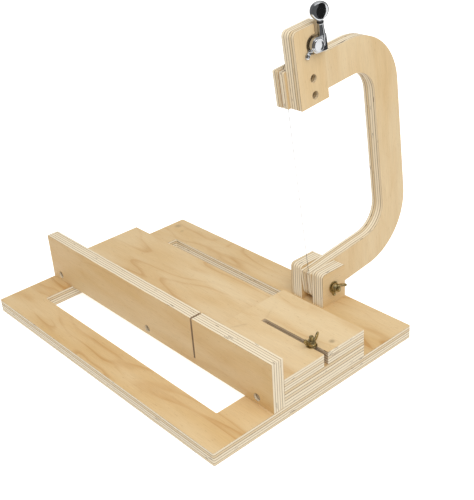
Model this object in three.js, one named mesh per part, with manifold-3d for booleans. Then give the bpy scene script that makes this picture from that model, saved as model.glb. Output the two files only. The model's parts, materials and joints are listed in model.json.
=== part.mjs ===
// Wooden wire loaf cutter: a base board with two long windows, a tray with a tall fence,
// a sliding length stop held by a wing nut, and a C-shaped plywood bow that carries a taut
// steel wire. The bow swings on a bolt between two cheeks and brings the wire down through
// the saw kerf in the fence. A sealed machine head on the bow's head plate tightens the wire.
// Millimetres. X runs along the tray, Y from the fence to the bow, Z up. The origin is the
// middle of the underside of the base board's front rail.
import * as THREE from "three";
import { mergeVertices } from "three/addons/utils/BufferGeometryUtils.js";
import Module from "manifold-3d";

// Base board, a frame round one large opening that the tray bridges
const BASE_L = 400;
const BASE_D = 287.5;
const BASE_T = 15;
const BASE_R = 2;
const OPENING_X = [40, 358];
const OPENING_Y = [40.5, 243.5];
const OPENING_R = 1.5;

// Fence, tray and length stop, measured from the base board's left and front edges
const FENCE_Y = 78;
const FENCE_T = 15;
const FENCE_TOP = 73;
const TRAY_BACK = 209.5;
const TRAY_TOP = 33;
const KERF_X = 280.3;
const KERF_W = 2.4;
const KERF_FLOOR = 23;
const STOP_LEFT = 281.4;
const STOP_TOP = 48.1;
const STOP_GAP = 0.1;
const STOP_FENCE_GAP = 0.3;
const SLOT_LEFT = 309.4;
const SLOT_W = 5.4;
const SLOT_Y = 152.2;

// Wood screws. A bore lets the head below the face; the seat is how far in the head's face lies.
const SCREW = { head: 3.9, shank: 1.9, bore: 4.4 };
const RECESS_W = 0.9;
const RECESS_H = 1.1;
const UNDER_SEAT = 1;
const TRAY_SCREW_L = 27;
const TRAY_SCREW_X = { left: 20, right: 379 };
const TRAY_SCREW_Y = { front: 125, back: 190 };
const CHEEK_SCREW_L = 36;
const CHEEK_SCREW_Y = { front: 255.5, back: 278.5 };
const FENCE_SCREW_L = 28;
const FENCE_SCREW_X = { left: 17.5, middle: 197, right: 376 };
const FENCE_SCREW_Z = 22.8;
const FENCE_SEAT = 7;
const HEAD_SCREW_L = 22;
const HEAD_SCREW_Z = { lower: 235.5, upper: 253.5 };
const HEAD_SCREW_Y = 5.6;
const HEAD_SEAT = 7.5;

// Clamp: bolt up through base, tray and slot, washer and wing nut
const CLAMP_X = 380;
const CLAMP_R = 2.4;
const CLAMP_HEAD = { r: 5.8, h: 3, seat: 4.5, room: 1.2 };
const CLAMP_TOP = 60;
const CLAMP_WASHER = { r: 6, t: 1 };
const CLAMP_NUT = { hub: 5, hubH: 5.4, span: 23, height: 11.8, turn: 92 };

// Pivot cheeks, and the pivot bolt with its washers and wing nut
const CHEEK_T = 16.5;
const CHEEK_FRONT = 248.5;
const CHEEK_BACK = 286;
const CHEEK_TOP = 57.5;
const CHEEK_R = 5;
const PIVOT_Y = 266;
const PIVOT_Z = 36.5;
const PIVOT_R = 3;
const PIVOT_HEAD = { r: 7, h: 3.6 };
const PIVOT_WASHER = { r: 7, t: 1.2 };
const PIVOT_TAIL = 10.5;
const PIVOT_NUT = { hub: 5.8, hubH: 6, span: 24, height: 11.5, turn: 103 };
const SIDE_GAP = 0.25;
const WING_T = 1.2;
const WING_EDGE = 0.5;

// Bow, in its own upright frame: origin on the pivot, x across the board, y back, z up
const BOW_T = 16.5;
const BOW_LEAN = 6.7;
const NOSE_FRONT = -16.6;
const HEAD_FRONT = -18.2;
const HEAD_R = 1.5;
const NOSE_R = 14;
const ARM_W = 39.5;
const UPPER_ARM_Z = 225.5;
const POST_OUTER_Y = 152.5;
const OUTER_R = 72;

// Wire and its anchor bead. The wire stands a little off parallel to the bow's post.
const WIRE_R = 0.25;
const WIRE_LOW_Y = -12.4;
const WIRE_HIGH_Y = -10.4;
const WIRE_KERF_W = 1.5;
const WIRE_KERF_ROOM = 0.15;
const BEAD_R = 2;
const BEAD_Z = -8;
const BEAD_ROOM = 0.5;
const BEAD_BORE_R = WIRE_R + 0.08;
const WRAP_TURNS = 3;
const WRAP_PITCH = 0.62;
const WRAP_STEPS = 16 * WRAP_TURNS;
const WIRE_TAIL = 2.5;

// Head plate, on the bow's right face, with a round recess and a rebate for the machine head
const PLATE_T = 16.5;
const PLATE_FRONT = -15.3;
const PLATE_W = 40.3;
const PLATE_TOP = 307;
const PLATE_R = [0.5, 0.5, 2, 6];
const RECESS_R = 9.9;
const RECESS_DEPTH = 5;
const REBATE_SIDE = 5.4;

// Machine head: post axis along x, worm axis along z
const POST_Y = 10.4;
const POST_Z = 287.4;
const POST_R = 3;
const POST_WAIST_R = 2.5;
const POST_END_X = -6;
const POST_TENON_R = 2;
const CROSS_HOLE_R = 0.95;
const WORM_OFFSET_Y = 9.3;
const WORM_OFFSET_X = 3.2;
const WORM_R = 2.35;
const WORM_ROOT_R = 1.75;
const WORM_LOW = -5.2;
const WORM_RINGS = 8;
const WORM_PITCH = 1.25;
const SHAFT_R = 1.6;
const GEAR_TEETH = 14;
const GEAR_R = 6.4;
const GEAR_ROOT = 0.9;
const GEAR_T = 4;
const CAVITY_R = 7;
const CAVITY_ROOM = 0.3;
const HOUSING_R = 8.2;
const HOUSING_FOOT_R = 8;
const HOUSING_H = 6.7;
const HOUSING_GAP = 0.2;
const HOUSING_LOW = -9.1;
const TUBE_R = 3.9;
const TUBE_MOUTH_R = 3.1;
const TUBE_TOP_Z = 306.8;
const CAP_R = 7.4;
const CAP_T = 1.9;
const EAR = { reach: 14.3, angle: 220, r: 2.6, t: 1.4 };
const EAR_SCREW = { head: 2.3, shank: 1.1, length: 10 };
const BUSHING = { r: 4.9, hexR: 6.35, hexH: 2.4 };
const BUSHING_WASHER = { r: 7.2, t: 0.8 };
const COLLAR = { r: 3.5, t: 1.5 };
const BUTTON_W = 20;
const BUTTON_H = 19;
const BUTTON_T = 7.6;
const BUTTON_EDGE = 2.5;
const BUTTON_TURN = -16;
const BUTTON_LOW_Z = 308.9;
const SHAFT_TOP_Z = 323;
const BUTTON_SCREW = { r: 1.1, head: 2, headH: 1.1 };

// Running clearance between a shaft and its hole, and the gap between stacked pieces
const FIT = 0.06;
const GAP = 0.1;

const X0 = -BASE_L / 2;
const Y0 = -OPENING_Y[0] / 2;
const wireX = X0 + KERF_X;
const halfBow = BOW_T / 2;
const plateFace = halfBow + PLATE_T;
const recessFloor = plateFace - RECESS_DEPTH;
const armHalf = ARM_W / 2;
const upperArmTop = UPPER_ARM_Z + ARM_W;
const wormX = plateFace + WORM_OFFSET_X;
const wormY = POST_Y + WORM_OFFSET_Y;
const housingTop = plateFace + HOUSING_H;
const radians = THREE.MathUtils.degToRad;

const wasm = await Module();
wasm.setup();

// A closed manifold-3d solid from a three.js geometry
function solid(geometry) {
  const plain = new THREE.BufferGeometry();
  plain.setAttribute("position", geometry.getAttribute("position").clone());
  if (geometry.index) plain.setIndex(geometry.index.clone());
  const merged = mergeVertices(plain, 1e-4);
  return new wasm.Manifold(
    new wasm.Mesh({
      numProp: 3,
      vertProperties: merged.getAttribute("position").array,
      triVerts: new Uint32Array(merged.index.array),
    }),
  );
}

// A flat-shaded three.js geometry from a manifold-3d solid
function geometryOf(shape) {
  const mesh = shape.getMesh();
  const g = new THREE.BufferGeometry();
  g.setAttribute("position", new THREE.BufferAttribute(new Float32Array(mesh.vertProperties), 3));
  g.setIndex(new THREE.BufferAttribute(new Uint32Array(mesh.triVerts), 1));
  const flat = g.toNonIndexed();
  flat.computeVertexNormals();
  return flat;
}

// The first geometry less all the others
function cut(body, ...tools) {
  let shape = solid(body);
  for (const tool of tools) shape = shape.subtract(solid(tool));
  return geometryOf(shape);
}

// All the geometries joined into one body
function join(...parts) {
  let shape = solid(parts[0]);
  for (const part of parts.slice(1)) shape = shape.add(solid(part));
  return geometryOf(shape);
}

function box(x0, x1, y0, y1, z0, z1) {
  const g = new THREE.BoxGeometry(x1 - x0, y1 - y0, z1 - z0);
  return g.translate((x0 + x1) / 2, (y0 + y1) / 2, (z0 + z1) / 2);
}

// Turns a geometry made along +Z so that it runs along another axis, then moves it
function along(axis, g, x, y, z) {
  if (axis === "x") g.rotateY(Math.PI / 2);
  if (axis === "-x") g.rotateY(-Math.PI / 2);
  if (axis === "y") g.rotateX(-Math.PI / 2);
  if (axis === "-z") g.rotateX(Math.PI);
  return g.translate(x, y, z);
}

// A turned body about +Z from a closed list of [radius, height] pairs
function turned(profile, segments = 24) {
  const points = profile.map(([r, h]) => new THREE.Vector2(r, h));
  points.push(points[0].clone());
  return new THREE.LatheGeometry(points, segments).rotateX(Math.PI / 2);
}

// A round bar or drill from height z0 to z1 about +Z
function rod(r, z0, z1, segments = 24) {
  return turned([[0, z0], [r, z0], [r, z1], [0, z1]], segments);
}

// A board outline drawn in the bow's side view [y, z], cut from sheet between x0 and x1
function sideBoard(shape, x0, x1, segments = 10) {
  const g = new THREE.ExtrudeGeometry(shape, {
    depth: x1 - x0,
    bevelEnabled: false,
    curveSegments: segments,
  });
  // The drawing's axes are turned to y and z, and the depth to x
  const turn = new THREE.Matrix4().set(0, 0, 1, x0, 1, 0, 0, 0, 0, 1, 0, 0, 0, 0, 0, 1);
  return g.applyMatrix4(turn);
}

// A rectangle with its own radius at each corner: low left, low right, high right, high left
function roundedRect(x0, y0, x1, y1, r) {
  const s = new THREE.Shape();
  const [a, b, c, d] = r;
  s.moveTo(x0 + a, y0);
  s.lineTo(x1 - b, y0);
  if (b) s.absarc(x1 - b, y0 + b, b, -Math.PI / 2, 0, false);
  s.lineTo(x1, y1 - c);
  if (c) s.absarc(x1 - c, y1 - c, c, 0, Math.PI / 2, false);
  s.lineTo(x0 + d, y1);
  if (d) s.absarc(x0 + d, y1 - d, d, Math.PI / 2, Math.PI, false);
  s.lineTo(x0, y0 + a);
  if (a) s.absarc(x0 + a, y0 + a, a, Math.PI, 1.5 * Math.PI, false);
  return s;
}

// A countersunk wood screw along +Z with its head's face at z = 0 and its point at -length
function woodScrew(length) {
  const { head, shank } = SCREW;
  return turned([
    [0, -length],
    [shank, -length + 2.2 * shank],
    [shank, shank - head],
    [head, -0.3],
    [head, 0],
    [RECESS_W, 0],
    [RECESS_W, -RECESS_H],
    [0, -RECESS_H],
  ], 16);
}

// The hole a wood screw lies in, with the bore that lets its head below the face by the seat
function screwHole(length, seat) {
  const shank = SCREW.shank + FIT;
  const head = SCREW.head + FIT;
  return turned([
    [0, -length - GAP],
    [shank, -length + 2.2 * SCREW.shank],
    [shank, shank - head - FIT],
    [head, -0.3],
    [SCREW.bore, 0],
    [SCREW.bore, seat + 1],
    [0, seat + 1],
  ], 16);
}

// A round-headed bolt along +Z: domed head below z = 0, shank up to the length
function headedBolt(headR, headH, r, length) {
  return turned([
    [0, -headH],
    [0.45 * headR, -0.93 * headH],
    [0.8 * headR, -0.66 * headH],
    [headR, -0.2 * headH],
    [headR, 0],
    [r, 0],
    [r, length - 0.5],
    [r - 0.5, length],
    [0, length],
  ], 32);
}

// A wing nut seated at z = 0, its wings spread along x and then turned about z
function wingNut(boreR, { hub, hubH, span, height, turn }) {
  const parts = [turned([
    [0, 0],
    [hub, 0],
    [hub, 0.4 * hubH],
    [0.78 * hub, hubH],
    [0, hubH],
  ], 32)];
  for (const side of [1, -1]) {
    const s = new THREE.Shape();
    s.moveTo(0.35 * hub, 0.1 * hubH);
    s.lineTo(0.9 * hub, 0.1 * hubH);
    s.quadraticCurveTo(span / 2 - 0.6, 0.25 * height, span / 2, 0.72 * height);
    s.quadraticCurveTo(span / 2 + 0.2, height, span / 2 - 2.2, height);
    s.quadraticCurveTo(span / 2 - 4.4, height, 0.8 * hub, 0.93 * hubH);
    s.lineTo(0.35 * hub, 0.93 * hubH);
    const wing = new THREE.ExtrudeGeometry(s, {
      depth: WING_T,
      bevelEnabled: true,
      bevelThickness: WING_EDGE,
      bevelSize: 0.8 * WING_EDGE,
      bevelOffset: -0.8 * WING_EDGE,
      bevelSegments: 1,
      curveSegments: 8,
    });
    wing.translate(0, 0, -WING_T / 2).rotateX(Math.PI / 2);
    if (side < 0) wing.rotateZ(Math.PI);
    parts.push(wing);
  }
  return cut(join(...parts), rod(boreR, -1, hubH + 1, 32)).rotateZ(radians(turn));
}

function washer(innerR, outerR, thickness) {
  return cut(rod(outerR, 0, thickness, 32), rod(innerR, -1, thickness + 1, 32));
}

const materials = {
  ply: { color: 0xdcc295, roughness: 0.55, metalness: 0 },
  zinc: { color: 0xc9ad62, roughness: 0.35, metalness: 1 },
  steel: { color: 0x9b9b98, roughness: 0.4, metalness: 1 },
  chrome: { color: 0xdfe2e6, roughness: 0.08, metalness: 1 },
  black: { color: 0x141416, roughness: 0.5, metalness: 0 },
  brass: { color: 0xc8a24a, roughness: 0.3, metalness: 1 },
};

const root = new THREE.Group();
root.name = "wire_cutter";
const bow = new THREE.Group();
bow.position.set(wireX, Y0 + PIVOT_Y, PIVOT_Z);
bow.rotation.x = radians(BOW_LEAN);
root.add(bow);

function add(parent, name, geometry, material) {
  const mesh = new THREE.Mesh(geometry, new THREE.MeshStandardMaterial(materials[material]));
  mesh.name = name;
  parent.add(mesh);
}

// --- Base board, with the screws that come up through it -------------------------------------

const cheekOffset = halfBow + SIDE_GAP + CHEEK_T / 2;
const cheekX = { left: KERF_X - cheekOffset, right: KERF_X + cheekOffset };

// Screw places under the board: [name, x, y, length]
const traySpots = [];
const cheekSpots = { left: [], right: [] };
for (const side of ["left", "right"]) {
  for (const end of ["front", "back"]) {
    traySpots.push(
      ["tray_screw_" + end + "_" + side, TRAY_SCREW_X[side], TRAY_SCREW_Y[end], TRAY_SCREW_L],
    );
    cheekSpots[side].push(
      ["cheek_screw_" + side + "_" + end, cheekX[side], CHEEK_SCREW_Y[end], CHEEK_SCREW_L],
    );
  }
}
const underSpots = [...traySpots, ...cheekSpots.left, ...cheekSpots.right];

function underHole([, x, y, length]) {
  return along("-z", screwHole(length, UNDER_SEAT), X0 + x, Y0 + y, UNDER_SEAT);
}

const outline = roundedRect(X0, Y0, -X0, Y0 + BASE_D, [BASE_R, BASE_R, BASE_R, BASE_R]);
outline.holes.push(roundedRect(
  X0 + OPENING_X[0],
  Y0 + OPENING_Y[0],
  X0 + OPENING_X[1],
  Y0 + OPENING_Y[1],
  [OPENING_R, OPENING_R, OPENING_R, OPENING_R],
));
const sheet = new THREE.ExtrudeGeometry(outline, {
  depth: BASE_T,
  bevelEnabled: false,
  curveSegments: 4,
});
const clampX = X0 + CLAMP_X;
const clampY = Y0 + SLOT_Y;
const clampHole = along("z", rod(CLAMP_R + FIT, -1, TRAY_TOP + 1, 32), clampX, clampY, 0);
const clampBore = rod(CLAMP_HEAD.r + CLAMP_HEAD.room, -1, CLAMP_HEAD.seat, 32);
add(root, "base_board", cut(
  sheet,
  along("z", clampBore, clampX, clampY, 0),
  clampHole,
  ...underSpots.map(underHole),
), "ply");
for (const [name, x, y, length] of underSpots) {
  add(root, name, along("-z", woodScrew(length), X0 + x, Y0 + y, UNDER_SEAT), "steel");
}

// --- Tray and fence ---------------------------------------------------------------------------

const trayFront = Y0 + FENCE_Y + FENCE_T;
// A fence screw lies along +Y, its head's face towards the front
function fenceTurn(g, x) {
  return g.rotateX(Math.PI / 2).translate(X0 + x, Y0 + FENCE_Y + FENCE_SEAT, FENCE_SCREW_Z);
}
function fenceHoles() {
  return Object.values(FENCE_SCREW_X).map((x) =>
    fenceTurn(screwHole(FENCE_SCREW_L, FENCE_SEAT), x));
}
function kerf(y0, y1) {
  return box(wireX - KERF_W / 2, wireX + KERF_W / 2, y0, y1, KERF_FLOOR, FENCE_TOP + 5);
}

add(root, "tray_board", cut(
  box(X0, -X0, trayFront, Y0 + TRAY_BACK, BASE_T, TRAY_TOP),
  kerf(trayFront - 5, Y0 + TRAY_BACK + 5),
  clampHole,
  ...fenceHoles(),
  ...traySpots.map(underHole),
), "ply");
add(root, "fence_board", cut(
  box(X0, -X0, Y0 + FENCE_Y, trayFront, BASE_T, FENCE_TOP),
  kerf(Y0 + FENCE_Y - 5, trayFront + 5),
  ...fenceHoles(),
), "ply");
for (const [name, x] of Object.entries(FENCE_SCREW_X)) {
  add(root, "fence_screw_" + name, fenceTurn(woodScrew(FENCE_SCREW_L), x), "steel");
}

// --- Length stop and its clamp ------------------------------------------------------------------

const slotHalf = SLOT_W / 2;
const slotEnd = X0 + SLOT_LEFT + slotHalf;
const stopFront = trayFront + STOP_FENCE_GAP;
const stopOutline = new THREE.Shape();
stopOutline.moveTo(X0 + STOP_LEFT, stopFront);
stopOutline.lineTo(-X0, stopFront);
stopOutline.lineTo(-X0, clampY - slotHalf);
stopOutline.lineTo(slotEnd, clampY - slotHalf);
stopOutline.absarc(slotEnd, clampY, slotHalf, -Math.PI / 2, Math.PI / 2, true);
stopOutline.lineTo(-X0, clampY + slotHalf);
stopOutline.lineTo(-X0, Y0 + TRAY_BACK);
stopOutline.lineTo(X0 + STOP_LEFT, Y0 + TRAY_BACK);
const stopBottom = TRAY_TOP + STOP_GAP;
const stopSheet = new THREE.ExtrudeGeometry(stopOutline, {
  depth: STOP_TOP - stopBottom,
  bevelEnabled: false,
  curveSegments: 12,
});
add(root, "stop_plate", stopSheet.translate(0, 0, stopBottom), "ply");

const clampWasherZ = STOP_TOP + STOP_GAP;
const clampNutZ = clampWasherZ + CLAMP_WASHER.t + GAP;
const clampBody = headedBolt(CLAMP_HEAD.r, CLAMP_HEAD.h, CLAMP_R, CLAMP_TOP - CLAMP_HEAD.seat);
const clampRing = washer(CLAMP_R + FIT, CLAMP_WASHER.r, CLAMP_WASHER.t);
const clampNut = wingNut(CLAMP_R + FIT, CLAMP_NUT);
add(root, "clamp_bolt", along("z", clampBody, clampX, clampY, CLAMP_HEAD.seat - FIT), "zinc");
add(root, "clamp_washer", along("z", clampRing, clampX, clampY, clampWasherZ), "zinc");
add(root, "clamp_wing_nut", along("z", clampNut, clampX, clampY, clampNutZ), "zinc");

// --- Cheeks and pivot -----------------------------------------------------------------------------

const pivotY = Y0 + PIVOT_Y;
for (const side of ["left", "right"]) {
  const cx = X0 + cheekX[side];
  const corners = [0, 0, BASE_R, CHEEK_R];
  const face = roundedRect(Y0 + CHEEK_FRONT, BASE_T, Y0 + CHEEK_BACK, CHEEK_TOP, corners);
  const board = sideBoard(face, cx - CHEEK_T / 2, cx + CHEEK_T / 2, 8);
  const bore = along("x", rod(PIVOT_R + FIT, -CHEEK_T, CHEEK_T, 48), cx, pivotY, PIVOT_Z);
  add(root, side + "_cheek", cut(board, bore, ...cheekSpots[side].map(underHole)), "ply");
}
const leftFace = X0 + cheekX.left - CHEEK_T / 2;
const rightFace = X0 + cheekX.right + CHEEK_T / 2;
const washerX = { left: leftFace - PIVOT_WASHER.t - GAP, right: rightFace + GAP };
const pivotHeadX = washerX.left - GAP;
const pivotLength = rightFace - pivotHeadX + PIVOT_TAIL;
const pivotBody = headedBolt(PIVOT_HEAD.r, PIVOT_HEAD.h, PIVOT_R, pivotLength);
add(root, "pivot_bolt", along("x", pivotBody, pivotHeadX, pivotY, PIVOT_Z), "zinc");
for (const [side, x] of Object.entries(washerX)) {
  const ring = washer(PIVOT_R + FIT, PIVOT_WASHER.r, PIVOT_WASHER.t);
  add(root, "pivot_washer_" + side, along("x", ring, x, pivotY, PIVOT_Z), "zinc");
}
const pivotNutX = washerX.right + PIVOT_WASHER.t + GAP;
const pivotNut = wingNut(PIVOT_R + FIT, PIVOT_NUT);
add(root, "pivot_wing_nut", along("x", pivotNut, pivotNutX, pivotY, PIVOT_Z), "zinc");

// --- Bow ------------------------------------------------------------------------------------------

// The wire's y at a height
function wireY(z) {
  return WIRE_LOW_Y + ((WIRE_HIGH_Y - WIRE_LOW_Y) * (z - BEAD_Z)) / (upperArmTop - BEAD_Z);
}

// The slit the wire lies in, between two heights
function wireKerf(z0, z1) {
  const floor = wireY(z1) + WIRE_R + WIRE_KERF_ROOM;
  return box(-WIRE_KERF_W / 2, WIRE_KERF_W / 2, HEAD_FRONT - 5, floor, z0 - 5, z1 + 5);
}

// The hole for a screw that fixes the head plate to the bow
function headHole(z) {
  const hole = screwHole(HEAD_SCREW_L, HEAD_SEAT);
  return along("x", hole, plateFace - HEAD_SEAT, HEAD_SCREW_Y, z);
}

const bendY = POST_OUTER_Y - OUTER_R;
const innerR = OUTER_R - ARM_W;
const lowBendZ = OUTER_R - armHalf;
const highBendZ = upperArmTop - OUTER_R;
const c = new THREE.Shape();
c.moveTo(NOSE_FRONT, armHalf);
c.lineTo(NOSE_FRONT, -armHalf + NOSE_R);
c.absarc(NOSE_FRONT + NOSE_R, -armHalf + NOSE_R, NOSE_R, Math.PI, 1.5 * Math.PI, false);
c.lineTo(bendY, -armHalf);
c.absarc(bendY, lowBendZ, OUTER_R, -Math.PI / 2, 0, false);
c.lineTo(POST_OUTER_Y, highBendZ);
c.absarc(bendY, highBendZ, OUTER_R, 0, Math.PI / 2, false);
c.lineTo(HEAD_FRONT + HEAD_R, upperArmTop);
c.absarc(HEAD_FRONT + HEAD_R, upperArmTop - HEAD_R, HEAD_R, Math.PI / 2, Math.PI, false);
c.lineTo(HEAD_FRONT, UPPER_ARM_Z);
c.lineTo(bendY, UPPER_ARM_Z);
c.absarc(bendY, highBendZ, innerR, Math.PI / 2, 0, true);
c.lineTo(bendY + innerR, lowBendZ);
c.absarc(bendY, lowBendZ, innerR, 0, -Math.PI / 2, true);
const beadY = wireY(BEAD_Z);
const beadHole = rod(BEAD_R + BEAD_ROOM, -armHalf - 2, BEAD_Z + BEAD_R + GAP);
add(bow, "bow_frame", cut(
  sideBoard(c, -halfBow, halfBow, 16),
  along("x", rod(PIVOT_R + FIT, -BOW_T, BOW_T, 48), 0, 0, 0),
  wireKerf(-armHalf, armHalf),
  wireKerf(UPPER_ARM_Z, upperArmTop),
  along("z", beadHole, 0, beadY, 0),
  ...Object.values(HEAD_SCREW_Z).map(headHole),
), "ply");

// --- Head plate --------------------------------------------------------------------------------------

const plateBack = PLATE_FRONT + PLATE_W;
const plateOutline = roundedRect(PLATE_FRONT, UPPER_ARM_Z, plateBack, PLATE_TOP, PLATE_R);
const earRun = new THREE.Vector2(Math.cos(radians(EAR.angle)), Math.sin(radians(EAR.angle)));
const earY = POST_Y + EAR.reach * earRun.x;
const earZ = POST_Z + EAR.reach * earRun.y;
const earSeat = plateFace + HOUSING_GAP;
const earHole = rod(EAR_SCREW.shank + FIT, -EAR_SCREW.length, 2, 16);
add(bow, "head_plate", cut(
  sideBoard(plateOutline, halfBow, plateFace, 8),
  along("x", rod(RECESS_R, 0, RECESS_DEPTH + 1, 32), recessFloor, POST_Y, POST_Z),
  box(recessFloor, plateFace + 1, wormY - REBATE_SIDE, plateBack + 1, POST_Z, PLATE_TOP + 1),
  along("x", rod(BUSHING.r + FIT, -1, PLATE_T + 1, 32), halfBow, POST_Y, POST_Z),
  along("x", earHole, earSeat + EAR.t, earY, earZ),
  ...Object.values(HEAD_SCREW_Z).map(headHole),
), "ply");
for (const [name, z] of Object.entries(HEAD_SCREW_Z)) {
  const body = along("x", woodScrew(HEAD_SCREW_L), plateFace - HEAD_SEAT, HEAD_SCREW_Y, z);
  add(bow, "head_screw_" + name, body, "steel");
}

// --- Machine head --------------------------------------------------------------------------------------

const housingBase = recessFloor + GAP;
const cavityFloor = wormX - GEAR_T / 2 - CAVITY_ROOM;
const wormLowZ = POST_Z + WORM_LOW;
const wormTopZ = POST_Z + 6;

// Housing: a cup on a foot in the recess, squared out below the worm, with tube and ear
const cornerR = 1.6;
const cup = new THREE.Shape();
cup.absarc(POST_Y, POST_Z, HOUSING_R, radians(75), radians(265), false);
cup.lineTo(wormY + 2.6, POST_Z + HOUSING_LOW);
cup.absarc(wormY + 2.6, POST_Z + HOUSING_LOW + cornerR, cornerR, -Math.PI / 2, 0, false);
cup.lineTo(wormY + TUBE_R, POST_Z + HOUSING_R);
const cupBody = sideBoard(cup, plateFace + HOUSING_GAP, housingTop, 24);
const foot = rod(HOUSING_FOOT_R, 0, RECESS_DEPTH + 2, 40);
const tube = turned([
  [0, POST_Z],
  [TUBE_R, POST_Z],
  [TUBE_R, POST_Z + HOUSING_R],
  [TUBE_MOUTH_R, TUBE_TOP_Z],
  [0, TUBE_TOP_Z],
], 28);
const earSide = new THREE.Vector2(earRun.y, -earRun.x).multiplyScalar(EAR.r);
const earRoot = new THREE.Vector2(POST_Y, POST_Z).addScaledVector(earRun, 6);
const sideAngle = Math.atan2(earSide.y, earSide.x);
const ear = new THREE.Shape();
ear.moveTo(earRoot.x - earSide.x, earRoot.y - earSide.y);
ear.lineTo(earY - earSide.x, earZ - earSide.y);
ear.absarc(earY, earZ, EAR.r, sideAngle - Math.PI, sideAngle - 2 * Math.PI, true);
ear.lineTo(earRoot.x + earSide.x, earRoot.y + earSide.y);
const earBody = sideBoard(ear, earSeat, earSeat + EAR.t, 12);
const wormHole = rod(WORM_R + CAVITY_ROOM, wormLowZ, wormTopZ + 0.5);
add(bow, "tuner_housing", cut(
  join(
    cupBody,
    along("x", foot, housingBase, POST_Y, POST_Z),
    tube.translate(wormX, wormY, 0),
    earBody,
  ),
  along("x", rod(CAVITY_R, 0, HOUSING_H, 40), cavityFloor, POST_Y, POST_Z),
  along("x", rod(POST_R + FIT, -12, 12, 32), housingBase, POST_Y, POST_Z),
  along("z", wormHole, wormX, wormY, 0),
  along("z", rod(SHAFT_R + FIT, POST_Z, TUBE_TOP_Z + 5), wormX, wormY, 0),
  along("x", rod(EAR_SCREW.shank + FIT, -3, 3, 16), earSeat, earY, earZ),
), "chrome");
const capDisc = turned([
  [0, 0],
  [CAP_R, 0],
  [CAP_R, 0.6 * CAP_T],
  [CAP_R - 0.5, 0.9 * CAP_T],
  [0, CAP_T],
], 40);
add(bow, "tuner_cap", along("x", capDisc, housingTop + FIT, POST_Y, POST_Z), "chrome");

const earPin = turned([
  [0, -EAR_SCREW.length + 0.5],
  [EAR_SCREW.shank, -EAR_SCREW.length + 3],
  [EAR_SCREW.shank, FIT],
  [EAR_SCREW.head, FIT],
  [EAR_SCREW.head, 0.7],
  [0.6 * EAR_SCREW.head, 1.5],
  [0, 1.6],
], 20);
add(bow, "ear_screw", along("x", earPin, earSeat + EAR.t, earY, earZ), "chrome");

// Worm and shaft: the ridges are turned rings, and the shaft runs out through the tube
const wormProfile = [[0, wormLowZ + 0.2], [WORM_ROOT_R, wormLowZ + 0.2]];
for (let i = 0; i < WORM_RINGS; i++) {
  const z = wormLowZ + 0.5 + i * WORM_PITCH;
  wormProfile.push([WORM_ROOT_R, z], [WORM_R, z + 0.35], [WORM_R, z + 0.65], [WORM_ROOT_R, z + 1]);
}
wormProfile.push([SHAFT_R, wormTopZ], [SHAFT_R, SHAFT_TOP_Z], [0, SHAFT_TOP_Z]);
add(bow, "worm_shaft", turned(wormProfile, 20).translate(wormX, wormY, 0), "steel");

// Gear wheel on the outer end of the string post
const gearOutline = new THREE.Shape();
for (let i = 0; i < 4 * GEAR_TEETH; i++) {
  const a = (2 * Math.PI * i) / (4 * GEAR_TEETH);
  const r = i % 4 < 2 ? GEAR_R : GEAR_R - GEAR_ROOT;
  if (i === 0) gearOutline.moveTo(r, 0);
  else gearOutline.lineTo(r * Math.cos(a), r * Math.sin(a));
}
const gear = sideBoard(gearOutline, wormX - GEAR_T / 2, wormX + GEAR_T / 2 - 0.2, 1);
add(bow, "gear_wheel", cut(
  gear.translate(0, POST_Y, POST_Z),
  along("x", rod(POST_TENON_R + FIT, -20, 20), wormX, POST_Y, POST_Z),
), "brass");

// String post: journal through housing and bushing, waist for the wire, cross hole
const postProfile = [
  [0, POST_END_X],
  [POST_R - 0.5, POST_END_X],
  [POST_R, POST_END_X + 0.5],
  [POST_R, -3.6],
  [POST_WAIST_R, -2.8],
  [POST_WAIST_R, 1.2],
  [POST_R, 2.2],
  [POST_R, cavityFloor + GAP],
  [POST_TENON_R, cavityFloor + GAP],
  [POST_TENON_R, wormX + GEAR_T / 2 + 0.2],
  [0, wormX + GEAR_T / 2 + 0.2],
];
const wrapR = POST_WAIST_R + WIRE_R + FIT;
const wrapEndX = -WRAP_TURNS * WRAP_PITCH;
const bend = new THREE.Vector3(0, wireY(upperArmTop), upperArmTop + 0.5);
const arrival = new THREE.Vector2(bend.y - POST_Y, bend.z - POST_Z);
const startAngle = Math.atan2(arrival.y, arrival.x) - Math.acos(wrapR / arrival.length());
const endAngle = startAngle - WRAP_TURNS * 2 * Math.PI;
const crossHole = rod(CROSS_HOLE_R, -8, 8, 16).rotateX(endAngle - Math.PI / 2);
add(bow, "string_post", cut(
  along("x", turned(postProfile, 32), 0, POST_Y, POST_Z),
  crossHole.translate(wrapEndX, POST_Y, POST_Z),
), "chrome");

// Bushing that draws the housing into the plate from the left, with its hexagon and washer
const hexX = halfBow - BUSHING_WASHER.t - 2 * GAP;
const hexagon = along("-x", rod(BUSHING.hexR, 0, BUSHING.hexH, 6), hexX, POST_Y, POST_Z);
const sleeve = rod(BUSHING.r, 0, recessFloor - hexX, 32);
add(bow, "post_bushing", cut(
  join(hexagon, along("x", sleeve, hexX - 0.5, POST_Y, POST_Z)),
  along("x", rod(POST_R + FIT, -20, 40, 32), 0, POST_Y, POST_Z),
), "chrome");
const flat = washer(BUSHING.r + FIT, BUSHING_WASHER.r, BUSHING_WASHER.t);
add(bow, "bushing_washer", along("x", flat, hexX + GAP, POST_Y, POST_Z), "chrome");

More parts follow.
